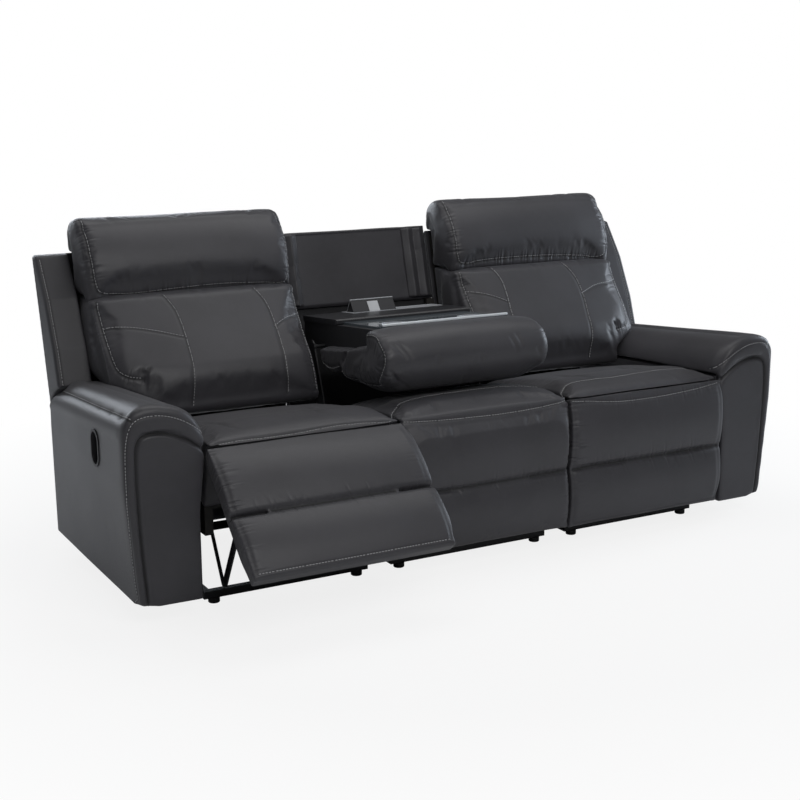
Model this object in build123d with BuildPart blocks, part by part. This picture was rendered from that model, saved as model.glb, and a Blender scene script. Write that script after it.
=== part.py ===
"""Three-seat reclining sofa with a fold-down centre console, in millimetres.

X runs across the sofa, Y from front to back and Z up. The origin lies on the
floor under the middle of the whole, with the left footrest partly raised and
the console folded down. Distances called "back" are measured rearwards from
the arm fronts, and "out" sideways from the middle of the sofa.
"""
from math import atan2, cos, degrees, hypot, radians, sin
import os

from build123d import *

os.makedirs("parts", exist_ok=True)

# ---------------------------------------------------------------- whole sofa
ARM_FRONT_Y = -310.1      # arm fronts, from the origin
HALF_WIDTH = 1106.0       # middle to the arm's outer side at its foot
ARM_BELLY = 1135.0        # the same where the arm bulges, at its front
ARM_BOTTOM = 58.0         # underside of the arms
ARM_BACK = 798.0          # arm fronts to arm backs
REAR_BELLY = 2.0          # what is left of that bulge at the back
ARM_RIDGE = 612.0         # top of the arm at its front
ARM_FALL = 0.09           # drop of the ridge for each mm towards the back
ARM_SEAM_Z = 583.0        # outer top seam at its front
ARM_INNER = 925.0         # middle to the arm's inner side, low down
ARM_INNER_HIGH = 904.0    # the same at seat height, where the arm leans in
PAD_FACE = 20.0           # where pad and side panel begin, behind the facing
CARCASS_OUT = 1077.0      # middle to the carcass's outer side
CARCASS_DOWN = 70.0       # ridge to the carcass's top outside
PAD_EDGE = 1112.0         # outer top seam
PAD_RIDGE_OUT = 1020.0    # where the pad's inner round starts
PAD_FOOT_OUT = 896.0      # pad's inner edge, beside the seat
PAD_FOOT_Z = 498.0        # the same, above the floor
SEAM_ALLOWANCE = 1.5      # side panel below the pad at the top seam
GROOVE_LOW_OUT = 1079.0   # groove of the arm's front, low down
GROOVE_OUT = 1095.0       # and higher up
GROOVE_TOP = 548.0
GROOVE_BEND_OUT = 985.0   # where it turns down to the seat
GROOVE_GAP = 1.5
FACING_PROUD = 12.0
PANEL_PROUD = 6.0
CENTRE_HALF = 298.0       # middle to the line between centre and side seats
SIDE_SEAT_MID = 623.5     # middle to the middle of a side seat's base
SEAT_GAP = 1.5            # each seat's side to that line
SOFT_GAP = 0.5            # between soft pieces that lie together
BOARD = 18.0              # wooden boards
SKIN = 12.0               # padded covers stretched over a board

# ------------------------------------------------------------ base and steel
FOOT_RADIUS = 17.0
FOOT_HEIGHT = 15.0
TUBE = 22.0               # square base tube
BASE_FRONT = 97.0         # arm fronts to the front base tube
SIDE_BASE_BACK = 738.0    # and to the back ends of the side seats' rails
SIDE_FOOT_OUT = 228.5     # seat centre to its feet, side seats
CENTRE_FOOT_OUT = 249.0   # the same, centre seat
REAR_FOOT_BACK = 690.0
TIE_BACK = 620.0
RAIL_STEP = 11.5          # foot centre to the inner face of the base rail
PLATE = 4.0               # steel side plates
PLATE_FRONT = 170.0
PLATE_BACK = 700.0
DECK_Z = 215.0            # top of the side plates' flanges
FLANGE = 24.0
RUNNER_GAP = 0.3          # under the sliding seats
PIN_CLEARANCE = 0.05      # radial, all running pins
PIVOT_BACK = 609.0        # recline pivot, behind the arm fronts
PIVOT_Z = 300.0
PIVOT_PIN_RADIUS = 8.0
UPRIGHT = 34.0            # half-width of the plates' uprights at the pivot
ARC_ARM = 253.0           # arms end inside this radius about that pivot
ARC_BACK = 256.0          # reclining backs start outside this one

# --------------------------------------------------------------------- seats
SEAM_BACK = -5.0          # front seam: hinge line of the footrests
SEAM_Z = 480.0
SEAM_GAP = 2.0            # seam to the cushion's lip above it
RAIL_TOP = 300.0
RAIL_WIDE = 25.0
RAIL_FRONT = 62.0
RAIL_BACK = 560.0
CENTRE_RAIL_BACK = 430.0
FRONT_RAIL_BACK = 80.0
FRONT_RAIL_DEEP = 35.0
DECK_RAIL = 15.0          # height of the cross rails
SPRING_WIRE = 2.0         # radius
SPRING_GAP = 0.3
SPRING_COUNT = 4
SPRING_WAVE = 26.0        # pitch of a half wave
SPRING_SWING = 22.0       # half the width of the zigzag
TORQUE_TUBE_RADIUS = 12.5
TORQUE_TUBE_BACK = 250.0
CUSHION_BOTTOM = 305.0
CUSHION_CROWN = 512.0     # top of the front bolster
CUSHION_CHANNEL = 500.0   # sewn channel behind it
CHANNEL_BACK = 200.0
CUSHION_MOUND = 484.0     # seat between the channel and its rear edge
MOUND_BACK = 310.0
CUSHION_REAR_TOP = 440.0
SIDE_CUSHION_BACK = 540.0
CENTRE_CUSHION_BACK = 452.0
PAD_OUTER = 901.0         # middle to the side pads' outer ends
CUSHION_OUTER = 894.0     # and to the side cushions', beside the arm pads

# ------------------------------------------------- footrests and front pads
PAD_DEEP = 30.0           # seam line to the backs of the pads
PAD_CROWN = 30.0          # how far they swell in front of it
CREASE = 219.0            # seam to the crease between upper and lower pad
PAD_LENGTH = 412.0        # seam to the bottom edge
REST_BOARD = 15.0
REST_CLEARANCE = 6.0      # behind the board, to the seat cushion
LEFT_SWING = 47.0         # the left footrest as it stands, from closed
RIGHT_SWING = 0.0
LINK_DOWN = 200.35        # footrest link pivot: along the board
LINK_IN = 62.67           # and behind the seam line
SEAT_PIVOT_BACK = 116.0   # link pivot on the seat rail
SEAT_PIVOT_Z = 269.5
LINK_THICK = 5.0
LINK_PIN = 5.0            # radius
REAR_LINK_WIDE = 16.0
FRONT_LINK_WIDE = 24.0
LINK_PLAY = 1.0           # extra radius at the open pivot
LAYER_GAP = 1.0           # between links side by side

# ------------------------------------------------------------ backs
BACK_INNER = 305.0        # middle to the side backs' inner ends
LEAN_FOOT_BACK = 802.0    # the rear plane: this far back ...
LEAN_FOOT_Z = 464.0       # ... at this height ...
LEAN_TOP_BACK = 921.0     # ... and this far back ...
LEAN_TOP_Z = 917.0        # ... at this one
WING_INNER = 1000.0
WING_TOP = 925.0
SHELL_BOTTOM = 302.0
SHELL_OUTER_LOW = 896.0   # between the arms
BACK_CUSHION_OUTER = 992.0
BACK_CUSHION_LOW_OUTER = 886.0
BACK_CUSHION_BOTTOM = 448.0
OVERHANG_Z = 586.0        # cushion's ledge above the arm
OVERHANG_BACK = 640.0     # where its skirt starts to hang down
SKIRT_LOW = 500.0         # foot of that skirt beside the seat,
SKIRT_MIDDLE = 562.0      # over the arm's round
SKIRT_OUTER = 576.0       # and at the cushion's outer end
SHOULDER_Z = 602.0        # where the back cushion's front turns upwards
SHOULDER_BACK = 566.0
SHOULDER_LEAN = 0.37      # below it, mm forward for each mm down
BACK_CUSHION_TOP = 802.0
BACK_CROWN = 34.0
HEADREST_TOP = 1042.0
HEADREST_OUTER = 996.0
LOW_PANEL_TOP = 250.0

# ------------------------------------------------------------ centre back
CENTRE_PANEL_TOP = 940.0
CENTRE_PANEL_BOTTOM = 692.0
PANEL_THICK = 10.0
COVER_THICK = 5.0
CENTRE_PANEL_HALF = 206.0
CENTRE_BACK_HALF = 300.0
PLEAT_DEEP = 13.0
PLEAT_SKIN = 3.0
POST_WIDE = 30.0

# ------------------------------------------------------------ console
CONSOLE_BACK = 600.0      # fold pivot
CONSOLE_Z = 608.0
CONSOLE_TILT = 4.9        # folded down, its front stands this much high
CONSOLE_PIN = 6.0         # radius
BRACKET_OUT = 293.0       # middle to the fixed brackets
BRACKET_THICK = 5.0
BRACKET_FRONT = 330.0
BOX_HALF = 250.0
BOX_WALL = 12.0
BOX_FRONT = -362.0        # along the console, from the pivot
BOX_REAR = 146.0
DECK_TOP = 72.0           # above the pivot
DECK_THICK = 7.0
DECK_LOW = DECK_TOP - DECK_THICK
TRAY_HALF = 227.0
TRAY_TOP = 79.0
PLATE_STEP = -100.0       # where the tray ends and the rear plate begins
PLATE_TOP = 89.8
PLATE_HALF = 254.0
CUP_OUT = 142.0
CUP_ALONG = -283.0
CUP_RADIUS = 41.0         # bore
CUP_WALL = 1.5
CUP_DEEP = 48.0
ROLL_HALF = 290.0
LOBE_HALF = 286.0
ROLL_DRAW = 12.0          # how far both are drawn in at their ends
MODULE_LEFT = -97.0
MODULE_RIGHT = 65.0
MODULE_HINGE = 130.0      # along the console
MODULE_HINGE_UP = 82.0
MODULE_RISE = 58.0        # degrees open
MODULE_LID = 56.0         # hinge to lip
MODULE_LID_THICK = 3.0
MODULE_LID_RISE = 3.0     # hinge axis to the lid's underside
MODULE_REACH = 54.0       # hinge axis to the body's front edges
MODULE_PIN = 2.0
MODULE_GAP = 1.5
USB_HALF = 20.0           # middle insert of the module, half width
USB_THICK = 5.0
BEZEL_RIGHT = 240.0
BEZEL_THICK = 1.5
BEZEL_RIM = 14.0

# ------------------------------------------------------------ release handle
HANDLE_BACK = 262.0
HANDLE_Z = 455.0
HANDLE_FACE = 1128.6      # middle to the bezel's flange
HANDLE_HIGH = 98.0
HANDLE_WIDE = 62.0
HANDLE_DEEP = 34.0
HANDLE_WALL = 2.5
HANDLE_RIM = 5.0
PADDLE_PIN = 2.5
PADDLE_PIN_AHEAD = 12.0   # pin in front of the bezel's middle
PADDLE_LONG = 26.0
PADDLE_HIGH = 60.0
PADDLE_THICK = 6.0
CABLE_RADIUS = 3.0
CABLE_TOP_Z = HANDLE_Z - 18
CABLE_LOW_Z = 150.0

# ------------------------------------------------------------ power inlet
INLET_OUT = 180.0
INLET_Z = 120.0
INLET_RADIUS = 4.0
INLET_DEEP = 12.0
INLET_BODY = 26.0

LEAN = (LEAN_TOP_BACK - LEAN_FOOT_BACK) / (LEAN_TOP_Z - LEAN_FOOT_Z)


# ------------------------------------------------------------------- helpers
def save(builder, label):
    """Name a finished piece and write it."""
    builder.part.label = label
    export_step(builder.part, f"parts/{label}.step")


def side_view(out):
    """Plane across X at a distance from the middle: local x back, local y up."""
    return Plane(origin=(out, ARM_FRONT_Y, 0), x_dir=(0, 1, 0), z_dir=(1, 0, 0))


def front_view(back):
    """Plane facing front, behind the arm fronts: local x across, local y up."""
    return Plane(origin=(0, ARM_FRONT_Y + back, 0), x_dir=(1, 0, 0), z_dir=(0, -1, 0))


def plan_view(height):
    """Level plane whose local y counts from the arm fronts."""
    return Plane(origin=(0, ARM_FRONT_Y, height), x_dir=(1, 0, 0), z_dir=(0, 0, 1))


def outline(start, *steps):
    """Draw a closed face. A step is an end point, or (through, end) for an arc."""
    at = start
    with BuildLine() as border:
        for step in steps:
            if isinstance(step[0], tuple):
                ThreePointArc(at, step[0], step[1])
                at = step[1]
            else:
                Line(at, step)
                at = step
        if at != start:
            Line(at, start)
    make_face(border.edges())


def rounded_outline(points, radii):
    """Draw a closed face whose corners, but for the first and last, are rounded."""
    with BuildLine() as border:
        bends = FilletPolyline(*points, radius=radii)
        Line(bends @ 1, bends @ 0)
    make_face(border.edges())


def block(across, back, up, mode=Mode.ADD):
    """A box between (low, high) pairs, with back counted from the arm fronts."""
    middle = (sum(across) / 2, ARM_FRONT_Y + sum(back) / 2, sum(up) / 2)
    with Locations(middle):
        Box(across[1] - across[0], back[1] - back[0], up[1] - up[0], mode=mode)


def pin(x_from, x_to, back, up, radius, mode=Mode.ADD):
    """A round pin or hole along X."""
    with BuildSketch(side_view(min(x_from, x_to))) as disc:
        with Locations((back, up)):
            Circle(radius)
    extrude(disc.sketch, amount=abs(x_to - x_from), mode=mode)


def mirror_to(side):
    """Pieces are drawn on the right; the left one is its mirror image."""
    if side < 0:
        mirror(about=Plane.YZ, mode=Mode.REPLACE)


def rear_plane(height, inset=0.0):
    """How far back the sofa's leaning rear plane is at a height."""
    return LEAN_FOOT_BACK + (height - LEAN_FOOT_Z) * LEAN - inset


SIDES = {"left": -1, "right": 1}


# ------------------------------------------------------------------- base
def rail_span(middle, foot_out, sign):
    """Low and high X of a base rail on one side of a seat's centre."""
    inner = middle + sign * (foot_out + RAIL_STEP)
    return tuple(sorted((inner, inner + sign * TUBE)))


SEATS = (
    (-SIDE_SEAT_MID, SIDE_FOOT_OUT, SIDE_BASE_BACK),
    (0.0, CENTRE_FOOT_OUT, LEAN_FOOT_BACK - SKIN),
    (SIDE_SEAT_MID, SIDE_FOOT_OUT, SIDE_BASE_BACK),
)
BASE_UP = (FOOT_HEIGHT, FOOT_HEIGHT + TUBE)
BASE_TOP = FOOT_HEIGHT + TUBE

with BuildPart() as base_cross_tubes:
    for middle, foot_out, _ in SEATS:
        reach = foot_out + RAIL_STEP
        for back in (BASE_FRONT, REAR_FOOT_BACK - TUBE / 2):
            block((middle - reach, middle + reach), (back, back + TUBE), BASE_UP)
    # A short tube between neighbouring bases ties the three seats together.
    for side in SIDES.values():
        inner_end = CENTRE_FOOT_OUT + RAIL_STEP + TUBE
        outer_end = SIDE_SEAT_MID - SIDE_FOOT_OUT - RAIL_STEP - TUBE
        ends = sorted((side * inner_end, side * outer_end))
        block(ends, (TIE_BACK, TIE_BACK + TUBE), BASE_UP)
save(base_cross_tubes, "base_cross_tubes")

with BuildPart() as base_side_rails:
    for middle, foot_out, back_end in SEATS:
        for sign in (-1, 1):
            block(rail_span(middle, foot_out, sign), (BASE_FRONT, back_end), BASE_UP)
save(base_side_rails, "base_side_rails")

with BuildPart() as glide_feet:
    for middle, foot_out, _ in SEATS:
        for sign in (-1, 1):
            for back in (BASE_FRONT + TUBE / 2, REAR_FOOT_BACK):
                spot = (middle + sign * foot_out, ARM_FRONT_Y + back, FOOT_HEIGHT / 2)
                with Locations(spot):
                    Cylinder(FOOT_RADIUS, FOOT_HEIGHT)
    chamfer(glide_feet.edges().filter_by(GeomType.CIRCLE).group_by(Axis.Z)[0], length=1.5)
save(glide_feet, "glide_feet")


def side_plate(middle, foot_out, sign, upright):
    """Pressed steel plate on a base rail, with a flange that carries the seat."""
    inner = middle + sign * (foot_out + RAIL_STEP)
    face = min(inner, inner + sign * PLATE)
    with BuildSketch(side_view(face)) as pressing:
        points = [(PLATE_FRONT, BASE_TOP), (PLATE_FRONT, DECK_Z)]
        if upright:
            points += [
                (PIVOT_BACK - UPRIGHT, DECK_Z),
                (PIVOT_BACK - UPRIGHT + 12, PIVOT_Z + 14),
                (PIVOT_BACK - 12, PIVOT_Z + 26),
                (PIVOT_BACK + 12, PIVOT_Z + 26),
                (PIVOT_BACK + UPRIGHT, PIVOT_Z - 10),
            ]
        points += [(PLATE_BACK, DECK_Z), (PLATE_BACK, BASE_TOP)]
        outline(*points)
        for back in (PLATE_FRONT + 110, PLATE_FRONT + 270):
            with Locations((back, (BASE_TOP + DECK_Z) / 2)):
                SlotOverall(120, 60, mode=Mode.SUBTRACT)
    extrude(pressing.sketch, amount=PLATE)
    flange = tuple(sorted((inner + sign * PLATE, inner + sign * FLANGE)))
    block(flange, (PLATE_FRONT, PIVOT_BACK - UPRIGHT - 8), (DECK_Z - PLATE, DECK_Z))
    if upright:
        start = inner + sign * PLATE
        pin(start, start + sign * 9, PIVOT_BACK, PIVOT_Z, PIVOT_PIN_RADIUS)


with BuildPart() as mechanism_plates:
    for middle, foot_out, _ in SEATS:
        for sign in (-1, 1):
            side_plate(middle, foot_out, sign, upright=middle != 0)
    # Angles that bolt each arm to the outer base rail of the seat beside it.
    for side in SIDES.values():
        rail = rail_span(SIDE_SEAT_MID, SIDE_FOOT_OUT, 1)
        for back in (330.0, 560.0):
            leg = (back, back + 50)
            across = sorted((side * (rail[0] + PLATE), side * ARM_INNER))
            block(across, leg, (BASE_TOP, BASE_TOP + PLATE))
            across = sorted((side * (ARM_INNER - PLATE), side * ARM_INNER))
            block(across, leg, (BASE_TOP, ARM_BOTTOM + 60))
save(mechanism_plates, "mechanism_plates")


# ------------------------------------------------------------------- arms
def arm_cut():
    """Take away what the reclining back needs above and behind the arm."""
    with BuildSketch(side_view(0)) as waste:
        outline(
            (PIVOT_BACK + 79, 400), (PIVOT_BACK + 79, 700), (ARM_BACK + 60, 700), (ARM_BACK + 60, 400),
        )
        with Locations((PIVOT_BACK, PIVOT_Z)):
            Circle(ARC_ARM, mode=Mode.SUBTRACT)
    extrude(waste.sketch, amount=HALF_WIDTH + 100, mode=Mode.SUBTRACT)


def arm_loft(section, front, back, mode=Mode.ADD):
    """Run an arm section rearwards: it sinks and its belly flattens evenly."""
    ends = []
    for back_at in (front, back):
        drop = ARM_FALL * (back_at - PAD_FACE)
        flat = (back_at - PAD_FACE) / (ARM_BACK - PAD_FACE)
        belly = ARM_BELLY + (HALF_WIDTH + REAR_BELLY - ARM_BELLY) * flat
        with BuildSketch(front_view(back_at)) as end:
            section(drop, belly)
        ends.append(end.sketch.face())
    loft(ends, ruled=True, mode=mode)


def carcass_section(drop, belly):
    outline(
        (ARM_INNER, ARM_BOTTOM), (CARCASS_OUT, ARM_BOTTOM),
        (CARCASS_OUT, ARM_RIDGE - CARCASS_DOWN - drop),
        (ARM_INNER_HIGH + 26, PAD_FOOT_Z - 4 - drop / 2),
        (ARM_INNER_HIGH, PAD_FOOT_Z - 12 - drop / 2), (ARM_INNER, PIVOT_Z),
    )


def carcass_hollow(drop, belly):
    outline(
        (ARM_INNER + BOARD, ARM_BOTTOM + BOARD), (CARCASS_OUT - BOARD, ARM_BOTTOM + BOARD),
        (CARCASS_OUT - BOARD, ARM_RIDGE - CARCASS_DOWN - 26 - drop),
        (ARM_INNER_HIGH + BOARD + 8, PAD_FOOT_Z - 34 - drop / 2), (ARM_INNER + BOARD, PIVOT_Z),
    )


def pad_section(drop, belly):
    """Top pad: a full round that falls steeply to the seat."""
    foot = PAD_FOOT_Z - drop / 2
    drawn_in = belly - ARM_BELLY
    carcass_top = ARM_RIDGE - CARCASS_DOWN - drop
    outline(
        (PAD_FOOT_OUT, foot),
        ((935, ARM_RIDGE - 32 - drop * 0.85), (PAD_RIDGE_OUT, ARM_RIDGE - drop)),
        ((1085 + drawn_in * 0.6, ARM_RIDGE - 1 - drop), (PAD_EDGE + drawn_in, ARM_SEAM_Z - drop)),
        (CARCASS_OUT, carcass_top + 4),
        (CARCASS_OUT, carcass_top + 1),
        (ARM_INNER_HIGH + 26, foot - 3),
    )


def side_section(drop, belly):
    """Padded outer side, from the foot up to the outer top seam."""
    outline(
        (CARCASS_OUT + SOFT_GAP, ARM_BOTTOM), (HALF_WIDTH, ARM_BOTTOM),
        (belly, 400), (belly - SOFT_GAP, 528 - drop),
        (
            (belly - 3, 561 - drop),
            (PAD_EDGE + (belly - ARM_BELLY) + SEAM_ALLOWANCE, ARM_SEAM_Z - SEAM_ALLOWANCE - drop),
        ),
        (CARCASS_OUT + SOFT_GAP, ARM_RIDGE - CARCASS_DOWN + SEAM_ALLOWANCE - drop),
    )


def band_points():
    """Front of the arm: the stitched band, up outside, over and down to the seat."""
    return [
        (HALF_WIDTH, ARM_BOTTOM), (ARM_BELLY, 400), (ARM_BELLY, ARM_RIDGE + 2), (1040, ARM_RIDGE + 8),
        (944, ARM_RIDGE - 10), (PAD_FOOT_OUT, PAD_FOOT_Z + 2), (PAD_FOOT_OUT + 16, PAD_FOOT_Z - 14),
        (GROOVE_BEND_OUT, GROOVE_TOP - 2), (GROOVE_OUT, GROOVE_TOP), (GROOVE_OUT + 1, 424),
        (GROOVE_LOW_OUT, ARM_BOTTOM),
    ]


def front_panel_points():
    """The plain panel inside the band, less the groove between them."""
    gap = GROOVE_GAP
    return [
        (GROOVE_LOW_OUT - gap, ARM_BOTTOM), (GROOVE_OUT + 1 - gap, 424),
        (GROOVE_OUT - gap, GROOVE_TOP - gap), (GROOVE_BEND_OUT, GROOVE_TOP - 2 - gap),
        (ARM_INNER_HIGH + 1, PAD_FOOT_Z - 23), (ARM_INNER, PIVOT_Z), (ARM_INNER, ARM_BOTTOM),
    ]


def arm(name, side):
    with BuildPart() as arm_frame:
        arm_loft(carcass_section, PAD_FACE, ARM_BACK)
        arm_loft(carcass_hollow, PAD_FACE + BOARD, ARM_BACK - BOARD, Mode.SUBTRACT)
        arm_cut()
        # Way for the release cable through the outer and the inner board.
        pin(CARCASS_OUT - 30, CARCASS_OUT + 10, HANDLE_BACK, CABLE_TOP_Z, CABLE_RADIUS + 2, Mode.SUBTRACT)
        pin(ARM_INNER - 10, ARM_INNER + 40, HANDLE_BACK, CABLE_LOW_Z, CABLE_RADIUS + 2, Mode.SUBTRACT)
        mirror_to(side)
    save(arm_frame, f"{name}_arm_frame")

    with BuildPart() as arm_pad:
        arm_loft(pad_section, PAD_FACE, ARM_BACK)
        arm_cut()
        mirror_to(side)
    save(arm_pad, f"{name}_arm_pad")

    with BuildPart() as arm_side_panel:
        arm_loft(side_section, PAD_FACE, ARM_BACK)
        arm_cut()
        with BuildSketch(side_view(HANDLE_FACE - HANDLE_DEEP - PIN_CLEARANCE)):
            with Locations((HANDLE_BACK, HANDLE_Z)):
                SlotOverall(HANDLE_HIGH + 1, HANDLE_WIDE + 1, rotation=90)
        extrude(amount=HANDLE_DEEP * 2, mode=Mode.SUBTRACT)
        pin(CARCASS_OUT - 2, HANDLE_FACE, HANDLE_BACK, CABLE_TOP_Z, CABLE_RADIUS + 2, Mode.SUBTRACT)
        mirror_to(side)
    save(arm_side_panel, f"{name}_arm_side_panel")

    with BuildPart() as arm_facing:
        with BuildSketch(front_view(PAD_FACE)):
            rounded_outline(band_points(), [400, 66, 70, 100, 1.5, 1.5, 110, 26, 400])
        extrude(amount=PAD_FACE + FACING_PROUD)
        fillet(arm_facing.faces().sort_by(Axis.Y)[0].edges(), radius=8)
        mirror_to(side)
    save(arm_facing, f"{name}_arm_facing")

    with BuildPart() as arm_front_panel:
        with BuildSketch(front_view(PAD_FACE)):
            rounded_outline(front_panel_points(), [400, 26, 110, 3, 40])
        extrude(amount=PAD_FACE + PANEL_PROUD)
        fillet(arm_front_panel.faces().sort_by(Axis.Y)[0].edges(), radius=5)
        mirror_to(side)
    save(arm_front_panel, f"{name}_arm_front_panel")


for name, side in SIDES.items():
    arm(name, side)


# --------------------------------------------------------- release handles
def handle_slot(grow):
    SlotOverall(HANDLE_HIGH + 2 * grow, HANDLE_WIDE + 2 * grow, rotation=90)


PADDLE_OUT = HANDLE_FACE - 13
PADDLE_PIN_BACK = HANDLE_BACK - PADDLE_PIN_AHEAD

with BuildPart() as handle_bezels:
    floor_out = HANDLE_FACE - HANDLE_DEEP
    with BuildSketch(side_view(floor_out)):
        with Locations((HANDLE_BACK, HANDLE_Z)):
            handle_slot(0)
    extrude(amount=HANDLE_DEEP)
    with BuildSketch(side_view(HANDLE_FACE)):
        with Locations((HANDLE_BACK, HANDLE_Z)):
            handle_slot(HANDLE_RIM)
    extrude(amount=HANDLE_WALL)
    with BuildSketch(side_view(floor_out + HANDLE_WALL)):
        with Locations((HANDLE_BACK, HANDLE_Z)):
            handle_slot(-HANDLE_WALL)
    extrude(amount=HANDLE_DEEP, mode=Mode.SUBTRACT)
    # Bosses above and below the paddle hold its pin.
    for sign in (-1, 1):
        ends = sorted(HANDLE_Z + sign * (PADDLE_HIGH / 2 + step) for step in (1, 8))
        block(
            (floor_out + HANDLE_WALL / 2, PADDLE_OUT + 6),
            (PADDLE_PIN_BACK - 6, PADDLE_PIN_BACK + 6), ends,
        )
    with Locations((PADDLE_OUT, ARM_FRONT_Y + PADDLE_PIN_BACK, HANDLE_Z)):
        Cylinder(PADDLE_PIN + PIN_CLEARANCE, PADDLE_HIGH + 14, mode=Mode.SUBTRACT)
    mirror(about=Plane.YZ)
save(handle_bezels, "handle_bezels")

for name, side in SIDES.items():
    with BuildPart() as handle:
        block(
            (PADDLE_OUT - PADDLE_THICK / 2, PADDLE_OUT + PADDLE_THICK / 2),
            (PADDLE_PIN_BACK - 4, PADDLE_PIN_BACK + PADDLE_LONG),
            (HANDLE_Z - PADDLE_HIGH / 2, HANDLE_Z + PADDLE_HIGH / 2),
        )
        fillet(handle.edges().filter_by(Axis.X).group_by(Axis.Y)[-1], radius=10)
        with Locations((PADDLE_OUT, ARM_FRONT_Y + PADDLE_PIN_BACK, HANDLE_Z)):
            Cylinder(PADDLE_PIN, PADDLE_HIGH + 12)
        mirror_to(side)
    save(handle, f"{name}_handle")

with BuildPart() as release_cables:
    # From the back of the handle's cup, down inside the arm, to the side plate.
    start_out = HANDLE_FACE - HANDLE_DEEP
    end_out = rail_span(SIDE_SEAT_MID, SIDE_FOOT_OUT, 1)[0] + FLANGE
    route = [
        (start_out, CABLE_TOP_Z), (1030, CABLE_TOP_Z), (1008, 372), (1010, 300), (1002, 228),
        (978, CABLE_LOW_Z), (end_out, CABLE_LOW_Z),
    ]
    runs = [hypot(b[0] - a[0], b[1] - a[1]) for a, b in zip(route, route[1:])]
    radii = []
    for i in range(1, len(route) - 1):
        heading = [
            degrees(atan2(q[1] - p[1], q[0] - p[0]))
            for p, q in (route[i - 1:i + 1], route[i:i + 2])
        ]
        turn = abs((heading[1] - heading[0] + 180) % 360 - 180)
        radii.append(0.45 * min(runs[i - 1], runs[i]) / sin(radians(turn / 2)) * cos(radians(turn / 2)))
    print("release cable bend radii, mm:", [round(radius, 1) for radius in radii])
    with BuildLine(front_view(HANDLE_BACK)) as cable_path:
        FilletPolyline(*route, radius=radii)
    with BuildSketch(Plane(origin=cable_path.line @ 0, z_dir=cable_path.line % 0)):
        Circle(CABLE_RADIUS)
    sweep(path=cable_path.line)
    mirror(about=Plane.YZ)
save(release_cables, "release_cables")


# ------------------------------------------------------------------- seats
SEAT_PLAN = {
    "left": (-SIDE_SEAT_MID, SIDE_FOOT_OUT, RAIL_BACK, RUNNER_GAP),
    "centre": (0.0, CENTRE_FOOT_OUT, CENTRE_RAIL_BACK, 0.0),
    "right": (SIDE_SEAT_MID, SIDE_FOOT_OUT, RAIL_BACK, RUNNER_GAP),
}
PIN_REACH = LINK_THICK * 2 + LAYER_GAP * 2


def seat_frame(name, middle, foot_out, back_end, lift):
    """Wooden side rails and cross rails that carry the springs."""
    inner = foot_out + RAIL_STEP
    outer = inner + RAIL_WIDE
    cross_up = (RAIL_TOP - DECK_RAIL, RAIL_TOP)
    with BuildPart() as frame:
        for sign in (-1, 1):
            across = sorted((middle + sign * inner, middle + sign * outer))
            block(across, (RAIL_FRONT, back_end), (DECK_Z + lift, RAIL_TOP))
        across = (middle - inner, middle + inner)
        block(across, (FRONT_RAIL_BACK, FRONT_RAIL_BACK + FRONT_RAIL_DEEP), cross_up)
        block(across, (back_end - FRONT_RAIL_DEEP, back_end), cross_up)
        pin(*across, TORQUE_TUBE_BACK, (DECK_Z + RAIL_TOP) / 2, TORQUE_TUBE_RADIUS)
        if name != "centre":
            for sign in (-1, 1):
                start = middle + sign * inner
                end = start - sign * (LINK_THICK + 2 * LAYER_GAP)
                pin(start, end, SEAT_PIVOT_BACK, SEAT_PIVOT_Z, LINK_PIN)
        else:
            board_face = SEAM_BACK + PAD_DEEP + SOFT_GAP
            block(
                (-CENTRE_HALF + 4, CENTRE_HALF - 4), (board_face, board_face + REST_BOARD),
                (SEAM_Z - PAD_LENGTH + 8, SEAM_Z - 12),
            )
            for sign in (-1, 1):
                across = sorted((sign * inner, sign * outer))
                block(across, (board_face + REST_BOARD, RAIL_FRONT), (DECK_Z, RAIL_TOP))
    save(frame, f"{name}_seat_frame")


def seat_springs(name, middle, foot_out, back_end):
    """Zigzag springs from the front to the rear cross rail."""
    first = FRONT_RAIL_BACK + FRONT_RAIL_DEEP / 2
    last = back_end - FRONT_RAIL_DEEP / 2
    waves = int((last - first) // SPRING_WAVE)
    step = (last - first) / waves
    height = RAIL_TOP + SPRING_WIRE + SPRING_GAP
    pitch = 2 * (foot_out - 20) / SPRING_COUNT
    with BuildPart() as springs:
        for number in range(SPRING_COUNT):
            centre = middle + (number - (SPRING_COUNT - 1) / 2) * pitch
            points = [(centre, first)]
            for wave in range(waves):
                swing = SPRING_SWING if wave % 2 else -SPRING_SWING
                points.append((centre + swing, first + wave * step + step * 0.1))
                points.append((centre + swing, first + wave * step + step * 0.9))
            points.append((centre, last))
            with BuildLine(plan_view(height)) as wire:
                FilletPolyline(*points, radius=step * 0.3)
            with BuildSketch(Plane(origin=wire.line @ 0, z_dir=wire.line % 0)):
                Circle(SPRING_WIRE)
            sweep(path=wire.line)
    save(springs, f"{name}_seat_springs")


def cushion_section(bottom, back_end, crown, lip):
    """Seat cushion from the side: front bolster, sewn channel, rear mound."""
    front = SEAM_BACK + PAD_DEEP + SOFT_GAP + REST_BOARD + REST_CLEARANCE
    lip_z = SEAM_Z + SEAM_GAP
    outline(
        (front, bottom), (front, lip_z), (SEAM_BACK + lip, lip_z),
        ((SEAM_BACK + lip + 4, lip_z + 7), (SEAM_BACK + lip + 16, lip_z + 14 - crown * 0.4)),
        ((95, CUSHION_CROWN - crown), (CHANNEL_BACK, CUSHION_CHANNEL - crown)),
        ((MOUND_BACK, CUSHION_MOUND - crown), (back_end - 30, CUSHION_REAR_TOP - crown / 2)),
        ((back_end - 4, CUSHION_REAR_TOP - 18 - crown / 2), (back_end, CUSHION_REAR_TOP - 50)),
        (back_end, bottom),
    )


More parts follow.
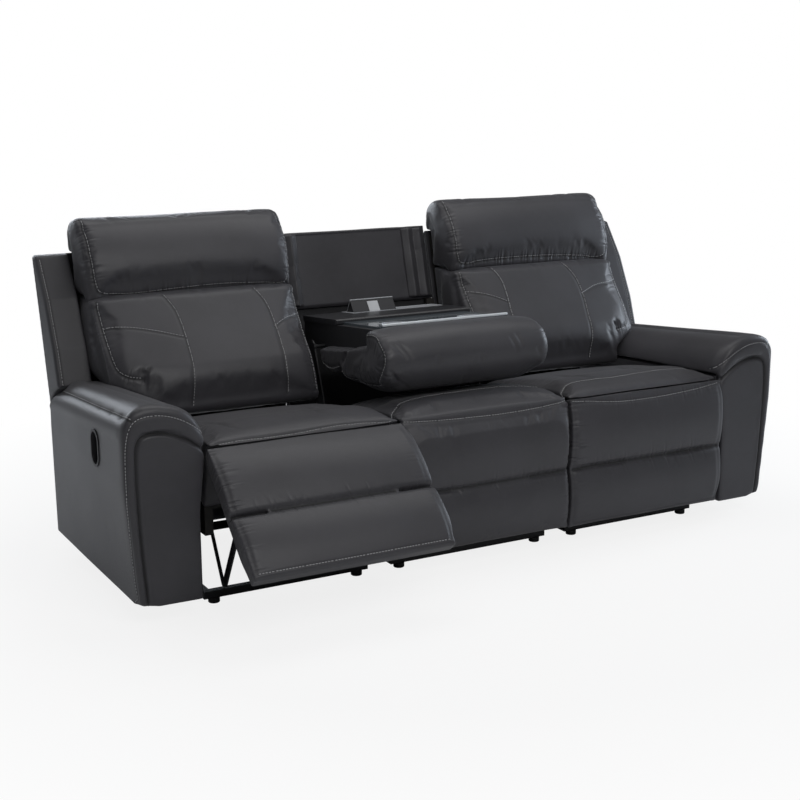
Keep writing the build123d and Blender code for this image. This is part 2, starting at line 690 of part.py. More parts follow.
def seat_cushion(name, low, high, bottom, back_end):
    """Loft across the seat: full in the middle, drawn in at both sides."""
    middle = (low + high) / 2
    half = (high - low) / 2
    with BuildPart() as cushion:
        for share, crown, lip in (
            (-1, 20, 8), (-0.9, 9, 2), (-0.45, 1, 1), (0, 0, 1), (0.45, 1, 1), (0.9, 9, 2), (1, 20, 8),
        ):
            with BuildSketch(side_view(middle + share * half)):
                cushion_section(bottom, back_end, crown, lip)
        loft(ruled=True)
    save(cushion, f"{name}_seat_cushion")


for name, (middle, foot_out, back_end, lift) in SEAT_PLAN.items():
    seat_frame(name, middle, foot_out, back_end, lift)
    if name != "centre":
        seat_springs(name, middle, foot_out, back_end)
        low, high = CENTRE_HALF + SEAT_GAP, CUSHION_OUTER
        if middle < 0:
            low, high = -high, -low
        seat_cushion(name, low, high, CUSHION_BOTTOM, SIDE_CUSHION_BACK)
    else:
        reach = CENTRE_HALF - SEAT_GAP
        seat_cushion(name, -reach, reach, RAIL_TOP + RUNNER_GAP, CENTRE_CUSHION_BACK)


# ------------------------------------------------------- pads and footrests
def rest_section(x, swing):
    """Section plane of a footrest: local x out of its back, local y down it."""
    turn = radians(swing)
    return Plane(
        origin=(x, ARM_FRONT_Y + SEAM_BACK, SEAM_Z),
        x_dir=(0, cos(turn), -sin(turn)), z_dir=(-1, 0, 0),
    )


def upper_pad_section(full):
    front = -PAD_CROWN * full
    outline(
        (PAD_DEEP, 3), (PAD_DEEP, CREASE - 1),
        (8, CREASE - 1), ((3.2 + front * 0.33, CREASE - 5), (front * 0.55, CREASE - 14)),
        ((front, CREASE * 0.52), (front * 0.2 - 1, 14)),
        ((-1, 4), (8, 1)),
    )


def lower_pad_section(full):
    front = -PAD_CROWN * full
    outline(
        (PAD_DEEP, CREASE + 1), (PAD_DEEP, PAD_LENGTH - 2),
        (4, PAD_LENGTH), ((-9, PAD_LENGTH - 4), (front * 0.5, PAD_LENGTH - 16)),
        ((front, (CREASE + PAD_LENGTH) / 2), (front * 0.55, CREASE + 14)),
        ((3.2 + front * 0.33, CREASE + 5), (8, CREASE + 1)),
    )


# Where along a pad, from one end to the other, and how full it is there.
PAD_FULLNESS = ((-1, 0.55), (-0.93, 0.85), (-0.5, 0.98), (0, 1), (0.5, 0.98), (0.93, 0.85), (1, 0.55))


def pad_loft(low, high, swing, section):
    middle = (low + high) / 2
    half = (high - low) / 2
    cuts = []
    for share, full in PAD_FULLNESS:
        with BuildSketch(rest_section(middle + share * half, swing)) as cut:
            section(full)
        cuts.append(cut.sketch.face())
    loft(cuts, ruled=True)


def footrest(name, low, high, swing):
    middle = (low + high) / 2
    for part_name, section in (("upper", upper_pad_section), ("lower", lower_pad_section)):
        with BuildPart() as pad:
            pad_loft(low, high, swing, section)
        save(pad, f"{name}_footrest_{part_name}_pad")

    seat_mid = SIDE_SEAT_MID if middle > 0 else -SIDE_SEAT_MID
    bracket = SIDE_FOOT_OUT + RAIL_STEP - PIN_REACH - LINK_THICK - 2 * LAYER_GAP
    with BuildPart() as board:
        with BuildSketch(rest_section(high - 12, swing)):
            with Locations((PAD_DEEP + SOFT_GAP + REST_BOARD / 2, (PAD_LENGTH + 6) / 2)):
                Rectangle(REST_BOARD, PAD_LENGTH - 26)
        extrude(amount=high - low - 24)
        face = PAD_DEEP + SOFT_GAP + REST_BOARD
        for sign in (-1, 1):
            plate = max(seat_mid + sign * bracket, seat_mid + sign * (bracket + LINK_THICK))
            with BuildSketch(rest_section(plate, swing)):
                outline(
                    (face, LINK_DOWN - 32), (LINK_IN + 2, LINK_DOWN - 10),
                    ((LINK_IN + 11, LINK_DOWN), (LINK_IN + 2, LINK_DOWN + 10)),
                    (face, LINK_DOWN + 32),
                )
            extrude(amount=LINK_THICK)
            tip = seat_mid + sign * (bracket + LINK_THICK)
            reach = LINK_THICK + 2 * LAYER_GAP
            with BuildSketch(rest_section(max(tip, tip + sign * reach), swing)):
                with Locations((LINK_IN, LINK_DOWN)):
                    Circle(LINK_PIN)
            extrude(amount=reach)
    save(board, f"{name}_footrest_board")


def link(x_face, start, end, wide, holes, pins):
    """Flat steel link from one pivot to the next, in the side view."""
    length = hypot(end[0] - start[0], end[1] - start[1])
    turn = degrees(atan2(end[1] - start[1], end[0] - start[0]))
    with BuildSketch(side_view(x_face)) as bar:
        with Locations(((start[0] + end[0]) / 2, (start[1] + end[1]) / 2)):
            SlotCenterToCenter(length, wide, rotation=turn)
    extrude(bar.sketch, amount=LINK_THICK)
    for at, radius in holes:
        pin(x_face - 1, x_face + LINK_THICK + 1, *at, radius, Mode.SUBTRACT)
    for at, x_to in pins:
        x_from = x_face if x_to < x_face else x_face + LINK_THICK
        pin(x_from, x_to, *at, LINK_PIN)


def links(name, seat_mid, swing):
    """A parallelogram: seam, seat pivot, knee and footrest pivot."""
    turn = radians(swing)
    reach = (
        -sin(turn) * LINK_DOWN + cos(turn) * LINK_IN,
        -cos(turn) * LINK_DOWN - sin(turn) * LINK_IN,
    )
    rest_pivot = (SEAM_BACK + reach[0], SEAM_Z + reach[1])
    seat_pivot = (SEAT_PIVOT_BACK, SEAT_PIVOT_Z)
    knee = (SEAT_PIVOT_BACK + reach[0], SEAT_PIVOT_Z + reach[1])
    rail_face = SIDE_FOOT_OUT + RAIL_STEP
    rear_layer = rail_face - LAYER_GAP - LINK_THICK
    front_layer = rear_layer - LAYER_GAP - LINK_THICK
    hole = LINK_PIN + PIN_CLEARANCE
    with BuildPart() as rear_links:
        for sign in (-1, 1):
            face = min(seat_mid + sign * rear_layer, seat_mid + sign * (rear_layer + LINK_THICK))
            tip = seat_mid + sign * (front_layer - LAYER_GAP)
            link(face, seat_pivot, knee, REAR_LINK_WIDE, [(seat_pivot, hole)], [(knee, tip)])
    save(rear_links, f"{name}_rear_links")
    with BuildPart() as front_links:
        for sign in (-1, 1):
            face = min(seat_mid + sign * front_layer, seat_mid + sign * (front_layer + LINK_THICK))
            holes = [(knee, hole), (rest_pivot, LINK_PIN + LINK_PLAY)]
            link(face, knee, rest_pivot, FRONT_LINK_WIDE, holes, [])
    save(front_links, f"{name}_front_links")


for name, side in SIDES.items():
    low, high = CENTRE_HALF + SEAT_GAP, PAD_OUTER
    if side < 0:
        low, high = -high, -low
    swing = LEFT_SWING if side < 0 else RIGHT_SWING
    footrest(name, low, high, swing)
    links(name, side * SIDE_SEAT_MID, swing)

with BuildPart() as centre_front_pads:
    reach = CENTRE_HALF - SEAT_GAP
    for section in (upper_pad_section, lower_pad_section):
        pad_loft(-reach, reach, 0, section)
save(centre_front_pads, "centre_front_pads")


# ------------------------------------------------------------------- backs
def outside_arc():
    """Keep only what lies outside the arm's arc about the recline pivot."""
    with BuildSketch(side_view(SHELL_OUTER_LOW)) as sweep_room:
        with Locations((PIVOT_BACK, PIVOT_Z)):
            Circle(ARC_BACK)
    extrude(sweep_room.sketch, amount=400, mode=Mode.SUBTRACT)


WING_FRONT = ((PIVOT_BACK + 81, 541), (727, 654), (797, 798), (884, WING_TOP - 4))
SHELL_INSET = 12.0
BOARD_INSET = SHELL_INSET + SOFT_GAP
CUSHION_INSET = BOARD_INSET + BOARD + SOFT_GAP


def back_shell(name, side):
    """Outside back and wing in one upholstered shell."""
    with BuildPart() as shell:
        with BuildSketch(side_view(BACK_INNER)):
            outline(
                (rear_plane(LEAN_FOOT_Z, SHELL_INSET), SHELL_BOTTOM), (LEAN_FOOT_BACK, SHELL_BOTTOM),
                (LEAN_FOOT_BACK, LEAN_FOOT_Z), (LEAN_TOP_BACK, LEAN_TOP_Z),
                (rear_plane(WING_TOP, SHELL_INSET), WING_TOP),
                (rear_plane(LEAN_FOOT_Z, SHELL_INSET), LEAN_FOOT_Z),
            )
        extrude(amount=SHELL_OUTER_LOW - BACK_INNER)
        with BuildSketch(side_view(SHELL_OUTER_LOW)):
            outline(
                (rear_plane(LEAN_FOOT_Z - 60, SHELL_INSET), LEAN_FOOT_Z - 60),
                (rear_plane(LEAN_FOOT_Z - 60), LEAN_FOOT_Z - 60), (LEAN_TOP_BACK, LEAN_TOP_Z),
                (rear_plane(WING_TOP, SHELL_INSET), WING_TOP),
            )
        extrude(amount=WING_INNER - SHELL_OUTER_LOW)
        with BuildSketch(side_view(WING_INNER)):
            outline(
                (rear_plane(LEAN_FOOT_Z - 60), LEAN_FOOT_Z - 60), (LEAN_TOP_BACK, LEAN_TOP_Z),
                (rear_plane(WING_TOP, SHELL_INSET), WING_TOP), *WING_FRONT[::-1],
                (WING_FRONT[0][0], LEAN_FOOT_Z - 60),
            )
        extrude(amount=HALF_WIDTH - WING_INNER)
        outside_arc()
        outer = shell.faces().sort_by(Axis.X)[-1]
        fillet(outer.edges().filter_by(GeomType.LINE), radius=10)
        mirror_to(side)
    save(shell, f"{name}_back_shell")


def back_frame(name, side):
    """Plywood back with the two steel arms that reach down to the pivot."""
    board_low = SHELL_BOTTOM + 20
    with BuildPart() as frame:
        with BuildSketch(side_view(BACK_INNER + 15)):
            outline(
                (rear_plane(LEAN_FOOT_Z, BOARD_INSET + BOARD), board_low),
                (rear_plane(LEAN_FOOT_Z, BOARD_INSET), board_low),
                (rear_plane(LEAN_FOOT_Z, BOARD_INSET), LEAN_FOOT_Z),
                (rear_plane(LEAN_TOP_Z - 12, BOARD_INSET), LEAN_TOP_Z - 12),
                (rear_plane(LEAN_TOP_Z - 12, BOARD_INSET + BOARD), LEAN_TOP_Z - 12),
                (rear_plane(LEAN_FOOT_Z, BOARD_INSET + BOARD), LEAN_FOOT_Z),
            )
        extrude(amount=SHELL_OUTER_LOW - 10 - BACK_INNER - 15)
        board_front = rear_plane(LEAN_FOOT_Z, BOARD_INSET + BOARD)
        for sign in (-1, 1):
            face = SIDE_SEAT_MID + sign * (SIDE_FOOT_OUT + RAIL_STEP + PLATE + 1)
            face = min(face, face + sign * PLATE)
            with BuildSketch(side_view(face)):
                outline(
                    (PIVOT_BACK - 20, PIVOT_Z),
                    ((PIVOT_BACK, PIVOT_Z - 20), (PIVOT_BACK + 20, PIVOT_Z - 8)),
                    (board_front, board_low + 18), (board_front, board_low + 110),
                    (PIVOT_BACK + 4, PIVOT_Z + 20),
                    ((PIVOT_BACK - 14, PIVOT_Z + 14), (PIVOT_BACK - 20, PIVOT_Z)),
                )
                with Locations((PIVOT_BACK, PIVOT_Z)):
                    Circle(PIVOT_PIN_RADIUS + PIN_CLEARANCE, mode=Mode.SUBTRACT)
            extrude(amount=PLATE)
            foot = sorted((face + PLATE / 2 - sign * 2, face + PLATE / 2 + sign * 30))
            block(foot, (board_front - PLATE, board_front), (board_low + 18, board_low + 110))
        mirror_to(side)
    save(frame, f"{name}_back_frame")


def cushion_top(swell):
    """Front and top of the back cushion, from its shoulder to the board."""
    return [
        ((640 - swell, 690), (706 - swell * 0.6, BACK_CUSHION_TOP - 14)),
        ((716 - swell * 0.5, BACK_CUSHION_TOP - 2), (730, BACK_CUSHION_TOP)),
        (rear_plane(BACK_CUSHION_TOP, CUSHION_INSET), BACK_CUSHION_TOP),
    ]


def back_cushion_section(full):
    """Back cushion from the side, between the arms: it stands on the seat."""
    swell = BACK_CROWN * full
    low = BACK_CUSHION_BOTTOM
    outline(
        (530, low), ((514 - swell * 0.3, low + 14), (518 - swell * 0.4, low + 42)),
        ((532 - swell * 0.8, 535), (SHOULDER_BACK - swell, SHOULDER_Z)), *cushion_top(swell),
        (rear_plane(low, CUSHION_INSET), low),
    )


def overhang_section(full, foot):
    """The same beside the seat: a ledge over the arm, with a skirt in front."""
    swell = BACK_CROWN * full
    shoulder = SHOULDER_BACK - swell
    face = shoulder - SHOULDER_LEAN * (SHOULDER_Z - foot - 14)
    outline(
        (face + 24, foot), ((face + 6, foot + 4), (face, foot + 14)), (shoulder, SHOULDER_Z),
        *cushion_top(swell), (rear_plane(OVERHANG_Z, CUSHION_INSET), OVERHANG_Z),
        (OVERHANG_BACK, OVERHANG_Z - 9),
    )


def back_cushion(name, side):
    middle = (BACK_INNER + BACK_CUSHION_OUTER) / 2
    half = (BACK_CUSHION_OUTER - BACK_INNER) / 2
    low_share = (BACK_CUSHION_LOW_OUTER - middle) / half
    with BuildPart() as cushion:
        for share, full in ((-1, 0), (-0.9, 0.55), (-0.5, 0.92), (0, 1), (0.4, 0.95), (low_share, 0.72)):
            with BuildSketch(side_view(middle + share * half)):
                back_cushion_section(full)
        loft(ruled=True)
        for share, full, foot in (
            (low_share, 0.72, SKIRT_LOW), (0.9, 0.55, SKIRT_MIDDLE), (1, 0, SKIRT_OUTER),
        ):
            with BuildSketch(side_view(middle + share * half)):
                overhang_section(full, foot)
        loft(ruled=True)
        mirror_to(side)
    save(cushion, f"{name}_back_cushion")


def headrest_section(full):
    """Bolster from the side: heavy, overhanging roll on top of the back."""
    swell = 16 * (1 - full)
    low = BACK_CUSHION_TOP + SOFT_GAP + 1
    outline(
        (740 + swell, low), ((724 + swell, low + 4), (716 + swell, low + 22)),
        ((734 + swell, 916), (800 + swell / 2, 1012 - swell)),
        ((826, 1036 - swell), (866, HEADREST_TOP - swell)),
        ((908 - swell / 2, 1028 - swell), (926 - swell / 2, 985 - swell)),
        ((930 - swell / 2, 955), (924 - swell / 2, WING_TOP + SOFT_GAP + 1)),
        (rear_plane(WING_TOP, CUSHION_INSET), WING_TOP + SOFT_GAP + 1),
        (rear_plane(low, CUSHION_INSET), low),
    )


def headrest(name, side):
    low, high = BACK_INNER - 1, HEADREST_OUTER
    middle, half = (low + high) / 2, (high - low) / 2
    with BuildPart() as roll:
        for share, full in ((-1, 0), (-0.94, 0.7), (-0.6, 0.95), (0, 1), (0.6, 0.95), (0.94, 0.7), (1, 0)):
            with BuildSketch(side_view(middle + share * half)):
                headrest_section(full)
        loft(ruled=True)
        mirror_to(side)
    save(roll, f"{name}_headrest")


for name, side in SIDES.items():
    back_shell(name, side)
    back_frame(name, side)
    back_cushion(name, side)
    headrest(name, side)

# ------------------------------------------------------------- centre back
with BuildPart() as rear_covers:
    # Low outside panels behind the side seats, set in from the moving shells.
    for side in SIDES.values():
        across = sorted((side * (CENTRE_HALF + SEAT_GAP), side * (SHELL_OUTER_LOW + 20)))
        block(across, (SIDE_BASE_BACK, SIDE_BASE_BACK + SKIN), (ARM_BOTTOM - 28, LOW_PANEL_TOP))
    # The centre one rises to the top of the fixed back.
    with BuildSketch(side_view(-CENTRE_BACK_HALF)):
        outline(
            (LEAN_FOOT_BACK - SKIN, ARM_BOTTOM - 43), (LEAN_FOOT_BACK, ARM_BOTTOM - 43),
            (LEAN_FOOT_BACK, LEAN_FOOT_Z), (rear_plane(CENTRE_PANEL_TOP), CENTRE_PANEL_TOP),
            (rear_plane(CENTRE_PANEL_TOP, COVER_THICK), CENTRE_PANEL_TOP),
            (rear_plane(CENTRE_PANEL_BOTTOM, COVER_THICK), CENTRE_PANEL_BOTTOM),
            (rear_plane(LEAN_FOOT_Z, SKIN), LEAN_FOOT_Z),
        )
    extrude(amount=2 * CENTRE_BACK_HALF)
save(rear_covers, "rear_covers")

with BuildPart() as centre_back_panel:
    with BuildSketch(side_view(-CENTRE_BACK_HALF)):
        inset = COVER_THICK + SOFT_GAP
        outline(
            (rear_plane(CENTRE_PANEL_BOTTOM, inset + PANEL_THICK), CENTRE_PANEL_BOTTOM),
            (rear_plane(CENTRE_PANEL_BOTTOM, inset), CENTRE_PANEL_BOTTOM),
            (rear_plane(CENTRE_PANEL_TOP, inset), CENTRE_PANEL_TOP),
            (
                (rear_plane(CENTRE_PANEL_TOP, inset + PANEL_THICK * 0.6), CENTRE_PANEL_TOP + 3),
                (rear_plane(CENTRE_PANEL_TOP, inset + PANEL_THICK), CENTRE_PANEL_TOP - 5),
            ),
        )
    extrude(amount=2 * CENTRE_BACK_HALF)
save(centre_back_panel, "centre_back_panel")

with BuildPart() as centre_back_frame:
    # Posts inside the rear cover, from the base rails up to the panel.
    for side in SIDES.values():
        post = sorted((side * (CENTRE_BACK_HALF - 2), side * (CENTRE_BACK_HALF - 2 - POST_WIDE)))
        with BuildSketch(side_view(post[0])):
            outline(
                (LEAN_FOOT_BACK - SKIN - BOARD, BASE_TOP), (LEAN_FOOT_BACK - SKIN, BASE_TOP),
                (LEAN_FOOT_BACK - SKIN, LEAN_FOOT_Z),
                (rear_plane(CENTRE_PANEL_BOTTOM - 1, SKIN), CENTRE_PANEL_BOTTOM - 1),
                (rear_plane(CENTRE_PANEL_BOTTOM - 1, SKIN + BOARD), CENTRE_PANEL_BOTTOM - 1),
                (LEAN_FOOT_BACK - SKIN - BOARD, LEAN_FOOT_Z),
            )
        extrude(amount=POST_WIDE)
    # Rail between the posts, low enough for the console to swing past.
    block(
        (-CENTRE_BACK_HALF + 2 + POST_WIDE, CENTRE_BACK_HALF - 2 - POST_WIDE),
        (LEAN_FOOT_BACK - SKIN - BOARD, LEAN_FOOT_BACK - SKIN), (220, 290),
    )
save(centre_back_frame, "centre_back_frame")

with BuildPart() as centre_gussets:
    # Two soft pleats close each end of the panel, in front of it.
    for side in SIDES.values():
        pleat = (CENTRE_BACK_HALF - 4 - CENTRE_PANEL_HALF) / 4
        face = rear_plane(CENTRE_PANEL_BOTTOM + 8, COVER_THICK + 2 * SOFT_GAP + PANEL_THICK)
        lean = degrees(atan2(LEAN, 1))
        level = Plane(
            origin=(0, ARM_FRONT_Y + face, CENTRE_PANEL_BOTTOM + 8), x_dir=(1, 0, 0),
            z_dir=(0, sin(radians(lean)), cos(radians(lean))),
        )
        with BuildSketch(level):
            inner_line = [(CENTRE_PANEL_HALF + i * pleat, -PLEAT_DEEP * (i % 2)) for i in range(5)]
            outer_line = [(x, y - PLEAT_SKIN) for x, y in reversed(inner_line)]
            points = [(side * x, y) for x, y in inner_line + outer_line]
            outline(*points)
        extrude(amount=(CENTRE_PANEL_TOP - 12 - CENTRE_PANEL_BOTTOM) / cos(radians(lean)))
save(centre_gussets, "centre_gussets")

# ------------------------------------------------------------------ console
TILT = radians(CONSOLE_TILT)
CONSOLE_Y = ARM_FRONT_Y + CONSOLE_BACK


def console_side(out):
    """Section plane of the console: local x along it, local y out of its top."""
    return Plane(
        origin=(out, CONSOLE_Y, CONSOLE_Z), x_dir=(0, cos(TILT), -sin(TILT)), z_dir=(1, 0, 0),
    )


def console_level(height):
    """Plane parallel to the console's top: local x across, local y along."""
    return Plane(
        origin=(0, CONSOLE_Y + height * sin(TILT), CONSOLE_Z + height * cos(TILT)),
        x_dir=(1, 0, 0), z_dir=(0, sin(TILT), cos(TILT)),
    )


def console_slab(across, along, up, mode=Mode.ADD):
    """A box between (low, high) pairs in the console's own directions."""
    with BuildSketch(console_level(up[0])) as slab:
        with Locations((sum(across) / 2, sum(along) / 2)):
            Rectangle(across[1] - across[0], along[1] - along[0])
    extrude(slab.sketch, amount=up[1] - up[0], mode=mode)


BOX_UNDER = ((BOX_REAR, -14.0), (-225.0, 6.0), (BOX_FRONT, 24.0))
MODULE_ALONG = (MODULE_HINGE - MODULE_LID - 2 * MODULE_GAP, MODULE_HINGE + 7)
MODULE_ACROSS = (MODULE_LEFT - MODULE_GAP, MODULE_RIGHT + MODULE_GAP)
HINGE_REACH = 6 + MODULE_GAP

with BuildPart() as console_box:
    with BuildSketch(console_side(-BOX_HALF)):
        outline((BOX_FRONT, DECK_TOP), *BOX_UNDER[::-1], (BOX_REAR, DECK_TOP))
    extrude(amount=2 * BOX_HALF)
    with BuildSketch(console_side(-BOX_HALF + BOX_WALL)):
        outline(
            (BOX_FRONT + BOX_WALL, DECK_LOW), (BOX_FRONT + BOX_WALL, BOX_UNDER[2][1] + BOX_WALL * 0.5),
            (BOX_UNDER[1][0], BOX_UNDER[1][1] + BOX_WALL * 0.8), (BOX_REAR - BOX_WALL, -14 + BOX_WALL),
            (BOX_REAR - BOX_WALL, DECK_LOW),
        )
    extrude(amount=2 * (BOX_HALF - BOX_WALL), mode=Mode.SUBTRACT)
    for side in SIDES.values():
        with BuildSketch(console_level(DECK_LOW - 1)):
            with Locations((side * CUP_OUT, CUP_ALONG)):
                Circle(CUP_RADIUS + CUP_WALL + 0.5)
        extrude(amount=DECK_THICK + 2, mode=Mode.SUBTRACT)
    console_slab(MODULE_ACROSS, MODULE_ALONG, (DECK_LOW - 1, DECK_TOP + 1), Mode.SUBTRACT)
    for side in SIDES.values():
        wall = sorted((side * (BOX_HALF - BOX_WALL - 1), side * (BOX_HALF + 1)))
        with BuildSketch(console_side(wall[0])):
            Circle(CONSOLE_PIN + PIN_CLEARANCE)
        extrude(amount=BOX_WALL + 2, mode=Mode.SUBTRACT)
save(console_box, "console_box")

with BuildPart() as console_tray:
    console_slab((-TRAY_HALF, TRAY_HALF), (BOX_FRONT, PLATE_STEP), (DECK_TOP, TRAY_TOP))
    with BuildSketch(console_level(DECK_TOP - 1)):
        for side in SIDES.values():
            with Locations((side * CUP_OUT, CUP_ALONG)):
                Circle(CUP_RADIUS + CUP_WALL + PIN_CLEARANCE)
    extrude(amount=TRAY_TOP - DECK_TOP + 2, mode=Mode.SUBTRACT)
    # Raised rim along the front edge.
    console_slab((-TRAY_HALF, TRAY_HALF), (BOX_FRONT, BOX_FRONT + 6), (TRAY_TOP, TRAY_TOP + 4))
save(console_tray, "console_tray")

with BuildPart() as cup_liners:
    for side in SIDES.values():
        centre = (side * CUP_OUT, CUP_ALONG)
        with BuildSketch(console_level(TRAY_TOP + 2 - CUP_DEEP - CUP_WALL)):
            with Locations(centre):
                Circle(CUP_RADIUS + CUP_WALL)
        extrude(amount=CUP_DEEP + CUP_WALL)
        with BuildSketch(console_level(TRAY_TOP)):
            with Locations(centre):
                Circle(CUP_RADIUS + 7)
        extrude(amount=2)
        with BuildSketch(console_level(TRAY_TOP + 2 - CUP_DEEP)):
            with Locations(centre):
                Circle(CUP_RADIUS)
        extrude(amount=CUP_DEEP + 2, mode=Mode.SUBTRACT)
save(cup_liners, "cup_liners")

with BuildPart() as console_rear_plate:
    console_slab((-PLATE_HALF, PLATE_HALF), (PLATE_STEP, BOX_REAR), (DECK_TOP, PLATE_TOP))
    top = console_rear_plate.faces().sort_by(Axis.Z)[-1]
    chamfer(top.edges(), length=4)
    console_slab(MODULE_ACROSS, MODULE_ALONG, (DECK_TOP - 1, PLATE_TOP + 1), Mode.SUBTRACT)
    with BuildSketch(console_side(MODULE_LEFT - HINGE_REACH)):
        with Locations((MODULE_HINGE, MODULE_HINGE_UP)):
            Circle(MODULE_PIN + PIN_CLEARANCE)
    extrude(amount=MODULE_RIGHT - MODULE_LEFT + 2 * HINGE_REACH, mode=Mode.SUBTRACT)
save(console_rear_plate, "console_rear_plate")

with BuildPart() as module_bezel:
    rim_along = (MODULE_ALONG[0] - BEZEL_RIM / 2, BOX_REAR - 5)
    bezel_up = (PLATE_TOP, PLATE_TOP + BEZEL_THICK)
    console_slab((MODULE_ACROSS[0] - BEZEL_RIM, BEZEL_RIGHT), rim_along, bezel_up)
    console_slab(MODULE_ACROSS, MODULE_ALONG, (bezel_up[0] - 1, bezel_up[1] + 1), Mode.SUBTRACT)
    console_slab(
        (MODULE_RIGHT + 16, BEZEL_RIGHT - 7), (rim_along[0] + 7, rim_along[1] - 7),
        (bezel_up[0] + BEZEL_THICK / 2, bezel_up[1] + 1), Mode.SUBTRACT,
    )
save(module_bezel, "module_bezel")

RISE = radians(MODULE_RISE)
MODULE_MIDDLE = (MODULE_LEFT + MODULE_RIGHT) / 2


def lid_point(along, under):
    """A point of the raised module: along its lid from the hinge, and under it."""
    below = under - MODULE_LID_RISE
    return (
        MODULE_HINGE - along * cos(RISE) - below * sin(RISE),
        MODULE_HINGE_UP + along * sin(RISE) - below * cos(RISE),
    )


def face_point(share, inset):
    """A point of the socket face: part of the way down it, and behind it."""
    spread = RISE - radians(2)
    run = MODULE_REACH * (cos(spread) - 1)
    fall = MODULE_REACH * sin(spread) + MODULE_LID_RISE
    length = hypot(run, fall)
    return lid_point(
        MODULE_REACH + share * run - inset * fall / length, share * fall + inset * run / length,
    )


with BuildPart() as power_module_lid:
    with BuildSketch(console_side(MODULE_LEFT)):
        outline(
            lid_point(-1, -MODULE_LID_THICK), lid_point(MODULE_LID, -MODULE_LID_THICK),
            lid_point(MODULE_LID, 0), lid_point(-1, 0),
        )
    extrude(amount=MODULE_RIGHT - MODULE_LEFT)
save(power_module_lid, "power_module_lid")

with BuildPart() as power_module_body:
    with BuildSketch(console_side(MODULE_LEFT)):
        outline(
            lid_point(-3, 0), face_point(0, 0), face_point(1, 0), face_point(1, 6), lid_point(-3, 8),
        )
    extrude(amount=MODULE_RIGHT - MODULE_LEFT)
    # Seat for the middle insert.
    with BuildSketch(console_side(MODULE_MIDDLE - USB_HALF)):
        outline(
            face_point(0.14, -2), face_point(0.86, -2),
            face_point(0.86, USB_THICK), face_point(0.14, USB_THICK),
        )
    extrude(amount=2 * USB_HALF, mode=Mode.SUBTRACT)
    for end in (MODULE_LEFT - HINGE_REACH + 1, MODULE_RIGHT):
        with BuildSketch(console_side(end)):
            with Locations((MODULE_HINGE, MODULE_HINGE_UP)):
                Circle(MODULE_PIN)
        extrude(amount=HINGE_REACH - 1)
save(power_module_body, "power_module_body")

with BuildPart() as usb_insert:
    with BuildSketch(console_side(MODULE_MIDDLE - USB_HALF)):
        outline(
            face_point(0.14, -0.6), face_point(0.86, -0.6),
            face_point(0.86, USB_THICK), face_point(0.14, USB_THICK),
        )
    extrude(amount=2 * USB_HALF)
save(usb_insert, "usb_insert")


def box_underside(along):
    """Height of the console box's underside, from the pivot."""
    rear, middle, front = BOX_UNDER
    start, end = (middle, front) if along < middle[0] else (rear, middle)
    share = (along - start[0]) / (end[0] - start[0])
    return start[1] + share * (end[1] - start[1]) - SOFT_GAP


def roll_section(full):
    """Front roll of the fold-down back: its headrest when it stands up."""
    draw = ROLL_DRAW * (1 - full)
    outline(
        (BOX_FRONT - SOFT_GAP, DECK_TOP + 3 - draw),
        ((-418, DECK_TOP + 5 - draw), (-462 + draw, 66 - draw)),
        ((-508 + draw, -8), (-440 + draw, -98 + draw)), ((-348, -110 + draw), (-252, -100 + draw)),
        ((-200, -92 + draw), (-168, -66 + draw)),
        (-229, box_underside(-229)), (BOX_FRONT - SOFT_GAP, BOX_UNDER[2][1] - SOFT_GAP),
    )


def lobe_section(full):
    """Lower lobe of the fold-down back, under the box."""
    draw = ROLL_DRAW * (1 - full)
    outline(
        (-223, box_underside(-223)), (-160, -64 + draw),
        ((-96, -76 + draw), (-40, -60 + draw)), ((-26, -44 + draw), (-24, box_underside(-24))),
    )


with BuildPart() as console_cushion:
    for half_width, section in ((ROLL_HALF, roll_section), (LOBE_HALF, lobe_section)):
        for share, full in ((-1, 0), (-0.93, 0.7), (-0.6, 0.97), (0, 1), (0.6, 0.97), (0.93, 0.7), (1, 0)):
            with BuildSketch(console_side(share * half_width)):
                section(full)
        loft(ruled=True)
save(console_cushion, "console_cushion")

with BuildPart() as console_brackets:
    # Steel uprights beside the console; each ends in the pin it folds about.
    rail_out = CENTRE_FOOT_OUT + RAIL_STEP + RAIL_WIDE
    for side in SIDES.values():
        plate = sorted((side * BRACKET_OUT, side * (BRACKET_OUT + BRACKET_THICK)))
        with BuildSketch(side_view(plate[0])):
            outline(
                (BRACKET_FRONT, DECK_Z), (BRACKET_FRONT, RAIL_TOP - 10),
                (CENTRE_CUSHION_BACK + 6, RAIL_TOP - 10), (CONSOLE_BACK - 24, CONSOLE_Z - 4),
                ((CONSOLE_BACK, CONSOLE_Z + 22), (CONSOLE_BACK + 24, CONSOLE_Z - 4)),
                (CENTRE_CUSHION_BACK + 60, DECK_Z),
            )
        extrude(amount=BRACKET_THICK)
        foot = sorted((side * rail_out, side * BRACKET_OUT))
        block(foot, (BRACKET_FRONT + 2, CENTRE_RAIL_BACK - 4), (DECK_Z, RAIL_TOP - 20))
        pin(side * BRACKET_OUT, side * (BOX_HALF - BOX_WALL + 2), CONSOLE_BACK, CONSOLE_Z, CONSOLE_PIN)
save(console_brackets, "console_brackets")

with BuildPart() as power_inlet:
    with BuildSketch(front_view(LEAN_FOOT_BACK + INLET_DEEP)):
        with Locations((INLET_OUT, INLET_Z)):
            Rectangle(INLET_BODY, INLET_BODY)
    extrude(amount=INLET_DEEP)
    fillet(power_inlet.edges().filter_by(Axis.Y), radius=4)
    with BuildSketch(front_view(LEAN_FOOT_BACK + INLET_DEEP)):
        with Locations((INLET_OUT, INLET_Z)):
            Circle(INLET_RADIUS)
    extrude(amount=INLET_DEEP - 2, mode=Mode.SUBTRACT)
save(power_inlet, "power_inlet")
